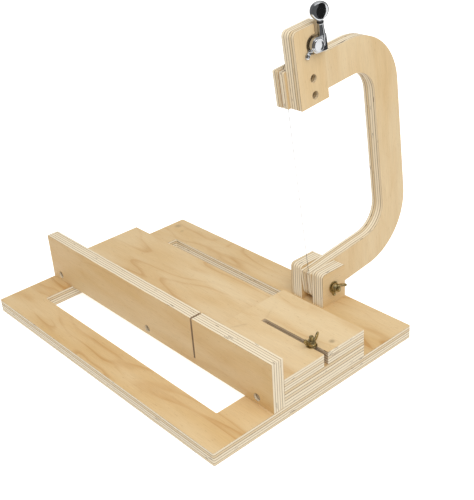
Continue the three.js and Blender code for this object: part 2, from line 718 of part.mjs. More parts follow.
// Button: a thick rounded oval on the end of the worm shaft, at rest a little off square
const collarZ = TUBE_TOP_Z + GAP;
const buttonTop = BUTTON_LOW_Z + BUTTON_H;
const oval = new THREE.Shape();
const ovalZ = BUTTON_LOW_Z + BUTTON_H / 2;
oval.absellipse(0, ovalZ, BUTTON_W / 2, BUTTON_H / 2, 0, 2 * Math.PI, false);
const ovalT = BUTTON_T - 2 * BUTTON_EDGE;
const ovalBody = new THREE.ExtrudeGeometry(oval, {
  depth: ovalT,
  bevelEnabled: true,
  bevelThickness: BUTTON_EDGE,
  bevelSize: BUTTON_EDGE,
  bevelOffset: -BUTTON_EDGE,
  bevelSegments: 4,
  curveSegments: 20,
});
// The drawing's axes are turned to y and z
const toSide = new THREE.Matrix4().set(0, 0, 1, 0, 1, 0, 0, 0, 0, 1, 0, 0, 0, 0, 0, 1);
ovalBody.translate(0, 0, -ovalT / 2).applyMatrix4(toSide);
const neckZ = collarZ + COLLAR.t + GAP;
const neck = turned([[0, neckZ], [3.1, neckZ], [2.5, neckZ + 5], [0, neckZ + 5]]);
const button = cut(
  join(ovalBody, neck),
  rod(SHAFT_R + FIT, collarZ, SHAFT_TOP_Z + FIT),
  rod(BUTTON_SCREW.r + GAP, SHAFT_TOP_Z - 2, buttonTop + 1),
  rod(BUTTON_SCREW.head + GAP, buttonTop - BUTTON_SCREW.headH - GAP, buttonTop + 1),
);
button.rotateZ(radians(BUTTON_TURN)).translate(wormX, wormY, 0);
add(bow, "tuner_button", button, "chrome");
const screwSeat = buttonTop - BUTTON_SCREW.headH;
const buttonScrew = turned([
  [0, SHAFT_TOP_Z + GAP],
  [BUTTON_SCREW.r, SHAFT_TOP_Z + GAP],
  [BUTTON_SCREW.r, screwSeat],
  [BUTTON_SCREW.head, screwSeat],
  [0.8 * BUTTON_SCREW.head, buttonTop - 0.3],
  [0, buttonTop - GAP],
], 16);
add(bow, "button_screw", buttonScrew.translate(wormX, wormY, 0), "chrome");
const collar = cut(rod(COLLAR.r, collarZ, collarZ + COLLAR.t), rod(SHAFT_R + FIT, 0, 400));
add(bow, "button_collar", collar.translate(wormX, wormY, 0), "black");

// --- Cutting wire -----------------------------------------------------------------------------------------

// From the bead under the nose straight up both kerfs, over the head's edge to the post and
// three turns round its waist, with a short cut end standing off beside the cross hole
const wire = [];
for (const z of [BEAD_Z - 0.5, BEAD_Z + 4, armHalf, UPPER_ARM_Z / 2, UPPER_ARM_Z, upperArmTop]) {
  wire.push(new THREE.Vector3(0, wireY(z), z));
}
function onPost(x, angle) {
  return new THREE.Vector3(x, POST_Y + wrapR * Math.cos(angle), POST_Z + wrapR * Math.sin(angle));
}
for (const share of [0.06, 0.3, 0.6, 0.9]) {
  wire.push(bend.clone().lerp(onPost(0, startAngle), share));
}
for (let i = 0; i < WRAP_STEPS; i++) {
  const t = i / WRAP_STEPS;
  wire.push(onPost(wrapEndX * t, startAngle + (endAngle - startAngle) * t));
}
const tailRun = new THREE.Vector3(-0.1, Math.sin(endAngle), -Math.cos(endAngle));
for (const share of [0, 0.4, 1]) {
  wire.push(onPost(wrapEndX, endAngle).addScaledVector(tailRun, share * WIRE_TAIL));
}

// Steps go by guide point rather than by length, so the turns are fine and the span is plain
class WirePath extends THREE.CatmullRomCurve3 {
  getPointAt(u, target) {
    return this.getPoint(u, target);
  }

  getTangentAt(u, target) {
    return this.getTangent(u, target);
  }
}
const ring = new THREE.Shape();
ring.absellipse(0, 0, WIRE_R, WIRE_R, 0, 2 * Math.PI, false);
add(bow, "cutting_wire", new THREE.ExtrudeGeometry(ring, {
  steps: 2 * (wire.length - 1),
  extrudePath: new WirePath(wire, false, "centripetal"),
  curveSegments: 3,
  bevelEnabled: false,
}), "steel");
const bead = turned([
  [BEAD_BORE_R, -0.8 * BEAD_R],
  [0.6 * BEAD_R, -0.8 * BEAD_R],
  [BEAD_R, -0.3 * BEAD_R],
  [BEAD_R, 0.3 * BEAD_R],
  [0.6 * BEAD_R, 0.8 * BEAD_R],
  [BEAD_BORE_R, 0.8 * BEAD_R],
], 20);
add(bow, "wire_bead", bead.translate(0, beadY, BEAD_Z), "brass");

export default root;
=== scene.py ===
import json
import math

import bmesh
import bpy
from bpy.props import FloatProperty, FloatVectorProperty, IntProperty, PointerProperty
from mathutils import Matrix, Vector

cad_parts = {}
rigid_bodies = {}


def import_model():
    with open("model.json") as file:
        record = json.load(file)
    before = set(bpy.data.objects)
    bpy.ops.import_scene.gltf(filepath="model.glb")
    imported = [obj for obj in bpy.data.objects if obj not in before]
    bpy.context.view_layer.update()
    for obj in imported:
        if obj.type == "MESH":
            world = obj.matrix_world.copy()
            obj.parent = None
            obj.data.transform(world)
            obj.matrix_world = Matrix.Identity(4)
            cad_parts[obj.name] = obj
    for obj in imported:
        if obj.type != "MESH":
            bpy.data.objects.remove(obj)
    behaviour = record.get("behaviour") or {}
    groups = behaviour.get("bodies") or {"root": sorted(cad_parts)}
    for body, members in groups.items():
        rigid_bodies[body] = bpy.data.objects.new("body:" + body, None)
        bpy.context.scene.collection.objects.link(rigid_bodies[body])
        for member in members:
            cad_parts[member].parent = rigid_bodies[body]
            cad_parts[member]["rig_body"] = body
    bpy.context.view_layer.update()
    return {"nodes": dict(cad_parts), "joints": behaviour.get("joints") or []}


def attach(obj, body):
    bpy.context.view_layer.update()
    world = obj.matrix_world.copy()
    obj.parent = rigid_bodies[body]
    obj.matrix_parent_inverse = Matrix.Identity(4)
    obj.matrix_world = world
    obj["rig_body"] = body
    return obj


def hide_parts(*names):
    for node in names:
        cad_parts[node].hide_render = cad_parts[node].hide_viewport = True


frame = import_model()

bl_info = {
    "name": "Wire loaf cutter",
    "version": (1, 0, 0),
    "blender": (4, 5, 0),
    "location": "View3D > Sidebar > Loaf cutter",
    "description": "Plywood loaf cutter with a hinged wire bow, finished for a studio picture",
    "category": "Object",
}

# Pieces are drawn in millimetres and set in metres.
MM = 0.001
# Height of the saw kerf's floor in fence and tray, and the button's turn at rest.
KERF_FLOOR = 23.0
BUTTON_TURN = math.radians(-16)

JOINTS = {j["name"]: j for j in frame["joints"]}
HINGE = Vector(JOINTS["bow_hinge"]["pos_m"]) / MM
WORM_AXIS = Vector(JOINTS["button_turn"]["axis"])
# The bow's own axes: x across the board, y back along the arms, z up the post.
BOW_PLACE = Matrix.Translation(HINGE) @ Matrix.Rotation(
    math.atan2(-WORM_AXIS.y, WORM_AXIS.z), 4, "X"
)


def linear(hex_colour):
    """An sRGB hex colour as linear red, green, blue and alpha."""
    channels = []
    for i in (1, 3, 5):
        c = int(hex_colour[i : i + 2], 16) / 255
        channels.append(c / 12.92 if c <= 0.04045 else ((c + 0.055) / 1.055) ** 2.4)
    return (*channels, 1.0)


def own_box(name, place=Matrix()):
    """Lowest and highest corner of a CAD node in a place's own axes, in millimetres."""
    back = place.inverted()
    points = [back @ (v.co / MM) for v in frame["nodes"][name].data.vertices]
    return Vector(map(min, zip(*points))), Vector(map(max, zip(*points)))


# --- Drawing in millimetres: each function returns points and faces ---------------------------


def step(low, high, value):
    """0 below low, 1 above high, and an even rise between them."""
    t = min(max((value - low) / (high - low), 0.0), 1.0)
    return t * t * (3 - 2 * t)


def curved(points, count):
    """A smooth line of count steps for each stretch between the points, of any dimension."""
    out = []
    for i in range(len(points) - 1):
        p = [points[min(max(i + k, 0), len(points) - 1)] for k in (-1, 0, 1, 2)]
        for s in range(count):
            t = s / count
            out.append(tuple(
                0.5 * (2 * b + (c - a) * t + (2 * a - 5 * b + 4 * c - d) * t * t
                       + (3 * b - a - 3 * c + d) * t ** 3)
                for a, b, c, d in zip(*p)
            ))
    return out + [tuple(points[-1])]


def eased(profile, radius, closed=False, steps=3):
    """A line of [a, b] points with its corners rounded."""
    last = len(profile) - 1
    out = []
    for i, point in enumerate(profile):
        if not closed and i in (0, last):
            out.append(tuple(point))
            continue
        here = Vector(point)
        ends = []
        for other in (Vector(profile[i - 1]), Vector(profile[(i + 1) % (last + 1)])):
            gap = other - here
            ends.append(here + gap.normalized() * min(radius, 0.45 * gap.length))
        for s in range(steps + 1):
            t = s / steps
            spot = ends[0] * (1 - t) ** 2 + here * 2 * t * (1 - t) + ends[1] * t * t
            out.append(tuple(spot))
    return out


def loft(loops, capped=True):
    """A skin over loops of equal count, its two ends closed."""
    count = len(loops[0])
    verts = [Vector(p) for loop in loops for p in loop]
    faces = []
    for k in range(len(loops) - 1):
        a, b = k * count, (k + 1) * count
        for i in range(count):
            j = (i + 1) % count
            faces.append((a + i, a + j, b + j, b + i))
    if capped:
        faces.append(tuple(range(count))[::-1])
        faces.append(tuple(range(len(verts) - count, len(verts))))
    return verts, faces


def turned(profile, segments=48, closed=False):
    """A lathe-turned skin about +Z from [radius, height] pairs. A closed profile makes a ring."""
    loops = []
    for r, h in profile:
        r = max(r, 1e-4)
        loops.append([
            (r * math.cos(2 * math.pi * i / segments), r * math.sin(2 * math.pi * i / segments), h)
            for i in range(segments)
        ])
    if closed:
        loops.append(loops[0])
    return loft(loops, capped=not closed)


def thread(radius, depth, pitch, z0, z1, steps=24):
    """A screw thread: a ridge wound round +Z, run out to nothing at both ends."""
    count = max(int((z1 - z0) / pitch * steps), 8)
    loops = []
    for i in range(count + 1):
        a = 2 * math.pi * i / steps
        z = z0 + pitch * i / steps
        root = radius - depth
        crest = root + depth * min(1.0, 2 * i / steps, 2 * (count - i) / steps)
        section = ((root - 0.1, -0.46), (crest, -0.09), (crest, 0.09), (root - 0.1, 0.46))
        loops.append([(r * math.cos(a), r * math.sin(a), z + s * pitch) for r, s in section])
    return loft(loops)


def tube(points, radius, sides=12):
    """A round wire along points."""
    points = [Vector(p) for p in points]
    up = Vector((1, 0, 0))
    loops = []
    for i, point in enumerate(points):
        ahead = (points[min(i + 1, len(points) - 1)] - points[max(i - 1, 0)]).normalized()
        up = (up - ahead * up.dot(ahead)).normalized()
        side = ahead.cross(up)
        loops.append([
            point + radius * (up * math.cos(a) + side * math.sin(a))
            for a in (2 * math.pi * k / sides for k in range(sides))
        ])
    return loft(loops)


def driver_head(radius, dome, recess, rim):
    """A screw head about +Z with a cross-shaped driver recess, its rim's foot at z = -rim."""
    rings, spokes = 16, 64
    loops = []
    for k in range(1, rings + 1):
        r = radius * k / rings
        loop = []
        for i in range(spokes):
            a = 2 * math.pi * i / spokes
            x, y = r * math.cos(a), r * math.sin(a)
            arm = 1 - step(0.12 * radius, 0.2 * radius, min(abs(x), abs(y)))
            reach = 1 - step(0.5 * radius, 0.6 * radius, r)
            z = dome * (1 - (r / radius) ** 2) - recess * arm * reach * (1 - 0.6 * r / radius)
            loop.append((x, y, z))
        loops.append(loop)
    loops.append([(x, y, -rim) for x, y, z in loops[-1]])
    return loft(loops)


def moved(part, matrix):
    """A part turned and moved."""
    return [matrix @ v for v in part[0]], part[1]


def facing(point, direction):
    """The place of a piece that stands on point with its own +Z along direction."""
    turn = Vector(direction).to_track_quat("Z", "Y").to_matrix().to_4x4()
    return Matrix.Translation(point) @ turn


def build(name, body, parts, material, replaces=(), place=Matrix(), edge=0.0, sharp=38):
    """Makes one piece from its parts and fixes it to its body."""
    verts, faces = [], []
    for part_verts, part_faces in parts:
        start = len(verts)
        verts += [(place @ Vector(v)) * MM for v in part_verts]
        faces += [tuple(i + start for i in face) for face in part_faces]
    mesh = bpy.data.meshes.new(name)
    mesh.from_pydata(verts, [], faces)
    bm = bmesh.new()
    bm.from_mesh(mesh)
    bmesh.ops.remove_doubles(bm, verts=bm.verts, dist=1e-7)
    bmesh.ops.recalc_face_normals(bm, faces=bm.faces)
    bm.to_mesh(mesh)
    bm.free()
    mesh.materials.append(material)
    mesh.shade_smooth()
    mesh.set_sharp_from_angle(angle=math.radians(sharp))
    made = bpy.data.objects.new(name, mesh)
    bpy.context.scene.collection.objects.link(made)
    if edge:
        bevel = made.modifiers.new("edge_rounding", "BEVEL")
        bevel.width = edge * MM
        bevel.segments = 2
        bevel.limit_method = "ANGLE"
        bevel.angle_limit = math.radians(40)
        bevel.harden_normals = True
    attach(made, body)
    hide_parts(*replaces)
    return made


def smoothing_group():
    """Geometry nodes that shade curved faces smooth and keep edges over 30 degrees crisp."""
    known = bpy.data.node_groups.get("shade_by_angle")
    if known:
        return known
    tree = bpy.data.node_groups.new("shade_by_angle", "GeometryNodeTree")
    for way in ("INPUT", "OUTPUT"):
        tree.interface.new_socket("Geometry", in_out=way, socket_type="NodeSocketGeometry")
    start = tree.nodes.new("NodeGroupInput")
    faces = add_node(tree, "GeometryNodeSetShadeSmooth", {0: start}, domain="FACE")
    angle = add_node(tree, "GeometryNodeInputMeshEdgeAngle")
    flat = add_node(tree, "ShaderNodeMath", {0: angle, 1: math.radians(30)}, operation="LESS_THAN")
    edges = add_node(tree, "GeometryNodeSetShadeSmooth", {0: faces, 2: flat}, domain="EDGE")
    finish = tree.nodes.new("NodeGroupOutput")
    tree.links.new(edges.outputs[0], finish.inputs[0])
    return tree


def finish_node(name, material, edge):
    """Gives a CAD node its material and rounds its sharp edges; the node itself stays as it is.

    The rounding is held back where the node's own triangles are narrow, so many edges stay crisp.
    """
    made = frame["nodes"][name]
    for s in made.material_slots:
        s.material = material
    weld = made.modifiers.new("weld", "WELD")
    weld.merge_threshold = 0.002 * MM
    bevel = made.modifiers.new("edge_rounding", "BEVEL")
    bevel.width = edge * MM
    bevel.segments = 2
    bevel.limit_method = "ANGLE"
    bevel.angle_limit = math.radians(40)
    bevel.use_clamp_overlap = True
    smooth = made.modifiers.new("shading", "NODES")
    smooth.node_group = smoothing_group()
    weighted = made.modifiers.new("even_normals", "WEIGHTED_NORMAL")
    weighted.keep_sharp = True
    return made


# --- Materials ----------------------------------------------------------------------------------


def add_node(tree, kind, inputs=None, stops=None, **settings):
    """Adds a node. Inputs are values, or nodes or outputs to link; stops are a ramp's colours."""
    made = tree.nodes.new(kind)
    for key, value in settings.items():
        setattr(made, key, value)
    for key, value in (inputs or {}).items():
        if isinstance(value, bpy.types.Node):
            value = next(out for out in value.outputs if out.enabled)
        if isinstance(value, bpy.types.NodeSocket):
            tree.links.new(value, made.inputs[key])
        else:
            made.inputs[key].default_value = value
    if stops:
        ramp = made.color_ramp
        while len(ramp.elements) < len(stops):
            ramp.elements.new(1.0)
        for element, (position, colour) in zip(ramp.elements, stops):
            element.position = position
            element.color = colour
    return made


def new_material(name, **values):
    """A material with one main shader, its uniform values set on the shader's own sockets."""
    made = bpy.data.materials.new(name)
    made.use_nodes = True
    shader = made.node_tree.nodes["Principled BSDF"]
    for key, value in values.items():
        shader.inputs[key.replace("_", " ")].default_value = value
    return made, made.node_tree, shader


def plywood(name, along, across, corner, thickness, seed, honey=0.5, figure=0.6, spots=(), burn_and_shade_boxes=()):
    """Birch-faced plywood, rotary-cut veneers laid cross-wise, sawn, sanded and left unfinished.

    To the eye: pale cream edges ruled with brown glue lines, faces of warm honey with soft
    flame figure, fine fibre along the grain, a dull satin where the sander ran.
    """
    board = bpy.context.scene.loaf_cutter_boards
    made, tree, shader = new_material(name, IOR=1.45)
    along, across = Vector(along), Vector(across)
    turn = Matrix((along, across, along.cross(across)))
    place = add_node(tree, "ShaderNodeTexCoord")
    # Own axes in millimetres: x along the face grain, y across it, z through the plies.
    own = add_node(tree, "ShaderNodeMapping", {
        "Vector": place.outputs["Object"],
        "Scale": (1 / MM,) * 3,
        "Rotation": turn.to_euler(),
        "Location": -(turn @ Vector(corner)),
    }, vector_type="POINT")
    parts = add_node(tree, "ShaderNodeSeparateXYZ", {"Vector": own})
    through = parts.outputs["Z"]
    plies = board.plies

    # Where in the stack of plies a point lies; veneers wander by a fifth of their thickness.
    wander = add_node(tree, "ShaderNodeTexNoise", {"Vector": own, "Scale": 0.025, "Detail": 2.0})
    shift = add_node(tree, "ShaderNodeMath", {
        0: wander, 1: 0.4, 2: -0.2 + seed,
    }, operation="MULTIPLY_ADD")
    stack = add_node(tree, "ShaderNodeMath", {
        0: through, 1: plies / thickness, 2: shift,
    }, operation="MULTIPLY_ADD")
    ply = add_node(tree, "ShaderNodeMath", {0: stack}, operation="FLOOR")
    line = add_node(tree, "ShaderNodeMath", {0: stack, 1: 0.5}, operation="PINGPONG")
    nearest = add_node(tree, "ShaderNodeMath", {0: stack}, operation="ROUND")
    line_noise = add_node(tree, "ShaderNodeTexWhiteNoise", {"W": nearest}, noise_dimensions="1D")
    line_power = add_node(tree, "ShaderNodeMapRange", {
        "Value": line_noise, "To Min": 0.6, "To Max": 1.0,
    })
    # A real glue line is 0.1 mm; it is drawn about 0.6 mm wide so that it shows.
    glue = add_node(tree, "ShaderNodeMapRange", {
        "Value": line, "From Min": 0.06, "From Max": 0.14, "To Min": 1.0, "To Max": 0.0,
    }, interpolation_type="SMOOTHSTEP")
    glue = add_node(tree, "ShaderNodeMath", {0: glue, 1: line_power}, operation="MULTIPLY")

    # Sawn edge: each ply its own shade, long fibres in one, end grain in the next.
    tone = add_node(tree, "ShaderNodeTexWhiteNoise", {"W": ply}, noise_dimensions="1D")
    edge_colour = add_node(tree, "ShaderNodeValToRGB", {"Fac": tone}, stops=[
        (0.0, board.edge_colour), (0.55, board.edge_colour), (1.0, board.core_colour),
    ])
    stretch = add_node(tree, "ShaderNodeVectorMath", {
        0: own, 1: (0.012, 0.012, 1.7),
    }, operation="MULTIPLY")
    streak = add_node(tree, "ShaderNodeTexNoise", {
        "Vector": stretch, "Scale": 1.0, "Detail": 4.0, "Roughness": 0.6,
    })
    edge_shade = add_node(tree, "ShaderNodeMapRange", {
        "Value": streak, "From Min": 0.3, "From Max": 0.7, "To Min": 0.94, "To Max": 1.02,
    })
    edge = add_node(tree, "ShaderNodeMix", {
        0: 1.0, 6: edge_colour, 7: edge_shade,
    }, data_type="RGBA", blend_type="MULTIPLY")
    edge = add_node(tree, "ShaderNodeMix", {0: glue, 6: edge, 7: board.glue_colour}, data_type="RGBA")
    # Small gaps in the core veneers, 10 to 25 mm long and under 1 mm high.
    core = add_node(tree, "ShaderNodeVectorMath", {
        0: own, 1: (0.055, 0.055, 0.62),
    }, operation="MULTIPLY")
    gap_noise = add_node(tree, "ShaderNodeTexNoise", {
        "Vector": core, "Scale": 1.0, "Detail": 1.0, "W": seed,
    }, noise_dimensions="4D")
    gap = add_node(tree, "ShaderNodeMapRange", {"Value": gap_noise, "From Min": 0.7, "From Max": 0.715})
    edge = add_node(tree, "ShaderNodeMix", {0: gap, 6: edge, 7: linear("#4A3020")}, data_type="RGBA")

    # Peeled face: bands that fade one way and stop short the other, 30 to 60 mm apart.
    flame = add_node(tree, "ShaderNodeVectorMath", {
        0: own, 1: (0.0045, 0.02, 0.02),
    }, operation="MULTIPLY")
    rings = add_node(tree, "ShaderNodeTexNoise", {
        "Vector": flame, "Scale": 1.0, "Detail": 2.0, "Roughness": 0.45, "Distortion": 0.35, "W": seed * 3.1,
    }, noise_dimensions="4D")
    rings = add_node(tree, "ShaderNodeMath", {0: rings, 1: 9.0}, operation="MULTIPLY")
    rings = add_node(tree, "ShaderNodeMath", {0: rings}, operation="FRACT")
    band = add_node(tree, "ShaderNodeValToRGB", {"Fac": rings}, stops=[
        (0.0, (0.25, 0.25, 0.25, 1)), (0.3, (0, 0, 0, 1)), (0.72, (0.1, 0.1, 0.1, 1)), (0.95, (1, 1, 1, 1)),
        (1.0, (0.35, 0.35, 0.35, 1)),
    ])
    cloud = add_node(tree, "ShaderNodeTexNoise", {
        "Vector": flame, "Scale": 1.7, "Detail": 2.0, "W": seed * 7.7,
    }, noise_dimensions="4D")
    zone = add_node(tree, "ShaderNodeMapRange", {
        "Value": cloud, "From Min": 0.42, "From Max": 0.62, "To Min": 0.15 * figure, "To Max": figure,
    })
    warmth = add_node(tree, "ShaderNodeMapRange", {
        "Value": cloud, "From Min": 0.35, "From Max": 0.65, "To Min": honey - 0.3, "To Max": honey + 0.35,
    })
    face = add_node(tree, "ShaderNodeMix", {
        0: warmth, 6: board.pale_colour, 7: board.honey_colour,
    }, data_type="RGBA")
    band = add_node(tree, "ShaderNodeMath", {0: band, 1: zone}, operation="MULTIPLY")
    face = add_node(tree, "ShaderNodeMix", {0: band, 6: face, 7: board.flame_colour}, data_type="RGBA")
    # Birch fibre is 0.1 mm across; it is drawn at 0.6 mm so that it shows.
    combed = add_node(tree, "ShaderNodeVectorMath", {0: own, 1: (0.05, 1.6, 1.6)}, operation="MULTIPLY")
    fibre = add_node(tree, "ShaderNodeTexNoise", {
        "Vector": combed, "Scale": 1.0, "Detail": 3.0, "Roughness": 0.65,
    })
    fibre_shade = add_node(tree, "ShaderNodeMapRange", {
        "Value": fibre, "From Min": 0.3, "From Max": 0.7, "To Min": 0.92, "To Max": 1.04,
    })
    face = add_node(tree, "ShaderNodeMix", {
        0: 1.0, 6: face, 7: fibre_shade,
    }, data_type="RGBA", blend_type="MULTIPLY")
    flecks = add_node(tree, "ShaderNodeVectorMath", {0: own, 1: (0.16, 1.1, 1.1)}, operation="MULTIPLY")
    pores = add_node(tree, "ShaderNodeTexNoise", {"Vector": flecks, "Scale": 1.0, "Detail": 1.0})
    pores = add_node(tree, "ShaderNodeMapRange", {
        "Value": pores, "From Min": 0.66, "From Max": 0.78, "To Max": 0.35,
    })
    face = add_node(tree, "ShaderNodeMix", {0: pores, 6: face, 7: linear("#A98250")}, data_type="RGBA")

    # Knots and stains on the face, each a soft ringed spot: centre and radius in own axes.
    for (x, y), radius, strength in spots:
        flat = add_node(tree, "ShaderNodeVectorMath", {
            0: own, 1: (1.0, 1.0, 0.0),
        }, operation="MULTIPLY")
        away = add_node(tree, "ShaderNodeVectorMath", {0: flat, 1: (x, y, 0.0)}, operation="DISTANCE")
        away = add_node(tree, "ShaderNodeMath", {
            0: wander, 1: 4.0, 2: away.outputs["Value"],
        }, operation="MULTIPLY_ADD")
        spot = add_node(tree, "ShaderNodeMapRange", {
            "Value": away, "From Min": 2.0, "From Max": radius + 2.0, "To Min": strength, "To Max": 0.0,
        }, interpolation_type="SMOOTHSTEP")
        face = add_node(tree, "ShaderNodeMix", {
            0: spot, 6: face, 7: linear("#6E5B3F"),
        }, data_type="RGBA")

    # Faces and edges are told apart by which way they look, in the board's own axes.
    looks = add_node(tree, "ShaderNodeVectorMath", {
        0: place.outputs["Normal"], 1: along.cross(across),
    }, operation="DOT_PRODUCT")
    looks = add_node(tree, "ShaderNodeMath", {0: looks.outputs["Value"]}, operation="ABSOLUTE")
    is_face = add_node(tree, "ShaderNodeMapRange", {"Value": looks, "From Min": 0.6, "From Max": 0.85})
    colour = add_node(tree, "ShaderNodeMix", {0: is_face, 6: edge, 7: face}, data_type="RGBA")

    # Saw cuts and routed walls are darkened in a scorch brown, partly burn from the cutter and partly painted
    # shade inside the cuts: box centre, half size and strength in own axes.
    for centre, half, strength in burn_and_shade_boxes:
        away = add_node(tree, "ShaderNodeVectorMath", {0: own, 1: centre}, operation="SUBTRACT")
        away = add_node(tree, "ShaderNodeVectorMath", {0: away}, operation="ABSOLUTE")
        away = add_node(tree, "ShaderNodeVectorMath", {0: away, 1: half}, operation="SUBTRACT")
        sides = add_node(tree, "ShaderNodeSeparateXYZ", {"Vector": away})
        furthest = add_node(tree, "ShaderNodeMath", {
            0: sides.outputs[0], 1: sides.outputs[1],
        }, operation="MAXIMUM")
        furthest = add_node(tree, "ShaderNodeMath", {
            0: furthest, 1: sides.outputs[2],
        }, operation="MAXIMUM")
        burn_and_shade_mix = add_node(tree, "ShaderNodeMapRange", {
            "Value": furthest, "From Min": 0.0, "From Max": 0.25, "To Min": strength, "To Max": 0.0,
        })
        # The scorch brown also paints the shade and bounce light inside the cuts.
        colour = add_node(tree, "ShaderNodeMix", {
            0: burn_and_shade_mix, 6: colour, 7: linear("#7A4A1C"),
        }, data_type="RGBA")
    tree.links.new(colour.outputs[2], shader.inputs["Base Color"])

    gloss = add_node(tree, "ShaderNodeMapRange", {
        "Value": fibre, "From Min": 0.3, "From Max": 0.7, "To Min": 0.62, "To Max": 0.46,
    })
    tree.links.new(gloss.outputs[0], shader.inputs["Roughness"])
    ridged = add_node(tree, "ShaderNodeMath", {0: glue, 1: -0.5, 2: streak}, operation="MULTIPLY_ADD")
    height = add_node(tree, "ShaderNodeMix", {0: is_face, 2: ridged, 3: fibre}, data_type="FLOAT")
    bump = add_node(tree, "ShaderNodeBump", {"Height": height, "Strength": 0.35, "Distance": 0.12 * MM})
    tree.links.new(bump.outputs[0], shader.inputs["Normal"])
    return made


def metal(name, stops, rough, grain_mm, depth_mm, streaked=False):
    """Bare or plated metal: colour that wanders between its stops, roughness over a range,
    and a skin of fine marks at grain_mm, which run along z where the part was drawn or turned.
    """
    made, tree, shader = new_material(name, Metallic=1.0)
    place = add_node(tree, "ShaderNodeTexCoord")
    stretch = (1.0, 1.0, 0.08) if streaked else (1.0, 1.0, 1.0)
    own = add_node(tree, "ShaderNodeMapping", {"Vector": place.outputs["Object"], "Scale": stretch})
    patches = add_node(tree, "ShaderNodeTexNoise", {
        "Vector": own, "Scale": 1 / (grain_mm * 6 * MM), "Detail": 3.0,
    })
    colour = add_node(tree, "ShaderNodeValToRGB", {"Fac": patches}, stops=stops)
    tree.links.new(colour.outputs[0], shader.inputs["Base Color"])
    marks = add_node(tree, "ShaderNodeTexNoise", {
        "Vector": own, "Scale": 1 / (grain_mm * MM), "Detail": 4.0, "Roughness": 0.6,
    })
    gloss = add_node(tree, "ShaderNodeMapRange", {
        "Value": marks, "From Min": 0.3, "From Max": 0.7, "To Min": rough[0], "To Max": rough[1],
    })
    tree.links.new(gloss.outputs[0], shader.inputs["Roughness"])
    bump = add_node(tree, "ShaderNodeBump", {
        "Height": marks, "Strength": 0.4, "Distance": depth_mm * MM,
    })
    tree.links.new(bump.outputs[0], shader.inputs["Normal"])
    return made


def finish(name):
    """The metal and plastic finishes by name, each made once."""
    known = bpy.data.materials.get(name)
    if known:
        return known
    kit = bpy.context.scene.loaf_cutter_hardware
    if name == "chrome_plated_die_casting":
        # Bright nickel-chrome on a polished casting: a mirror, with a faint haze of handling.
        return metal(name, [(0.3, kit.chrome_colour), (0.7, linear("#B8BBBF"))], (0.05, 0.12), 1.5, 0.001)
    if name == "yellow_passivated_zinc":
        # Zinc plate dipped in yellow chromate: brassy, drifting to olive and rose, half dull.
        return metal(name, [
            (0.25, linear("#6F6449")), (0.45, kit.zinc_colour),
            (0.6, linear("#BDAE84")), (0.8, linear("#8F7558")),
        ], (0.24, 0.45), 0.8, 0.01)
    if name == "plain_steel_screw":
        # Oiled rolled steel: brown-grey, semi-dull, with tool marks.
        return metal(name, [(0.3, linear("#4C3B2A")), (0.7, linear("#8F7450"))], (0.32, 0.5), 0.7, 0.01)
    if name == "turned_steel":
        # Shaft steel off the lathe: grey with a fine turning grain.
        return metal(name, [(0.3, linear("#8B8C8E")), (0.7, linear("#B4B5B7"))], (0.25, 0.4), 0.4, 0.006)
    if name == "turned_brass":
        # Brass off the lathe: warm yellow, fine turning grain, slightly tarnished.
        return metal(name, [(0.3, linear("#A9853C")), (0.7, linear("#D3AE5E"))], (0.22, 0.38), 0.5, 0.006)
    if name == "drawn_stainless_wire":
        # Hard-drawn wire: mid grey, half bright, with die lines along its length.
        stops = [(0.3, linear("#5E6063")), (0.7, linear("#85878A"))]
        return metal(name, stops, (0.28, 0.42), 0.3, 0.003, streaked=True)
    if name == "black_nylon":
        # Moulded nylon: near black, an even satin with a fine mould grain.
        made, tree, shader = new_material(name, Base_Color=linear("#17171A"), IOR=1.53)
        place = add_node(tree, "ShaderNodeTexCoord")
        grain = add_node(tree, "ShaderNodeTexNoise", {
            "Vector": place.outputs["Object"], "Scale": 1 / (0.5 * MM), "Detail": 3.0,
        })
        colour = add_node(tree, "ShaderNodeValToRGB", {
            "Fac": grain,
        }, stops=[(0.3, linear("#121215")), (0.7, linear("#222226"))])
        tree.links.new(colour.outputs[0], shader.inputs["Base Color"])
        gloss = add_node(tree, "ShaderNodeMapRange", {"Value": grain, "To Min": 0.35, "To Max": 0.55})
        tree.links.new(gloss.outputs[0], shader.inputs["Roughness"])
        return made
    raise RuntimeError("no finish is named " + name)


# --- Sizes and colours a user would change ----------------------------------------------------


class BoardSettings(bpy.types.PropertyGroup):
    """Plywood colours and edge rounding."""

    plies: IntProperty(name="Plies", description="Veneers in each board", default=5, min=3, max=13)
    edge_round: FloatProperty(
        name="Edge rounding", description="Largest radius left on each arris, in millimetres",
        default=0.5, min=0.1, max=2.0,
    )
    pale_colour: FloatVectorProperty(
        name="Pale face", description="Lightest wood on the faces", subtype="COLOR", size=4,
        default=linear("#E6CDA2"), min=0, max=1,
    )
    honey_colour: FloatVectorProperty(
        name="Honey face", description="Warm wood on the faces", subtype="COLOR", size=4,
        default=linear("#D9B67E"), min=0, max=1,
    )
    flame_colour: FloatVectorProperty(
        name="Flame figure", description="Late wood in the flame figure", subtype="COLOR", size=4,
        default=linear("#C08F50"), min=0, max=1,
    )
    edge_colour: FloatVectorProperty(
        name="Edge", description="Sawn veneer on the edges", subtype="COLOR", size=4,
        default=linear("#F0E1C4"), min=0, max=1,
    )
    core_colour: FloatVectorProperty(
        name="End grain", description="Darkest veneer on the edges", subtype="COLOR", size=4,
        default=linear("#DCC49A"), min=0, max=1,
    )
    glue_colour: FloatVectorProperty(
        name="Glue line", description="Glue between the veneers", subtype="COLOR", size=4,
        default=linear("#7C5A36"), min=0, max=1,
    )


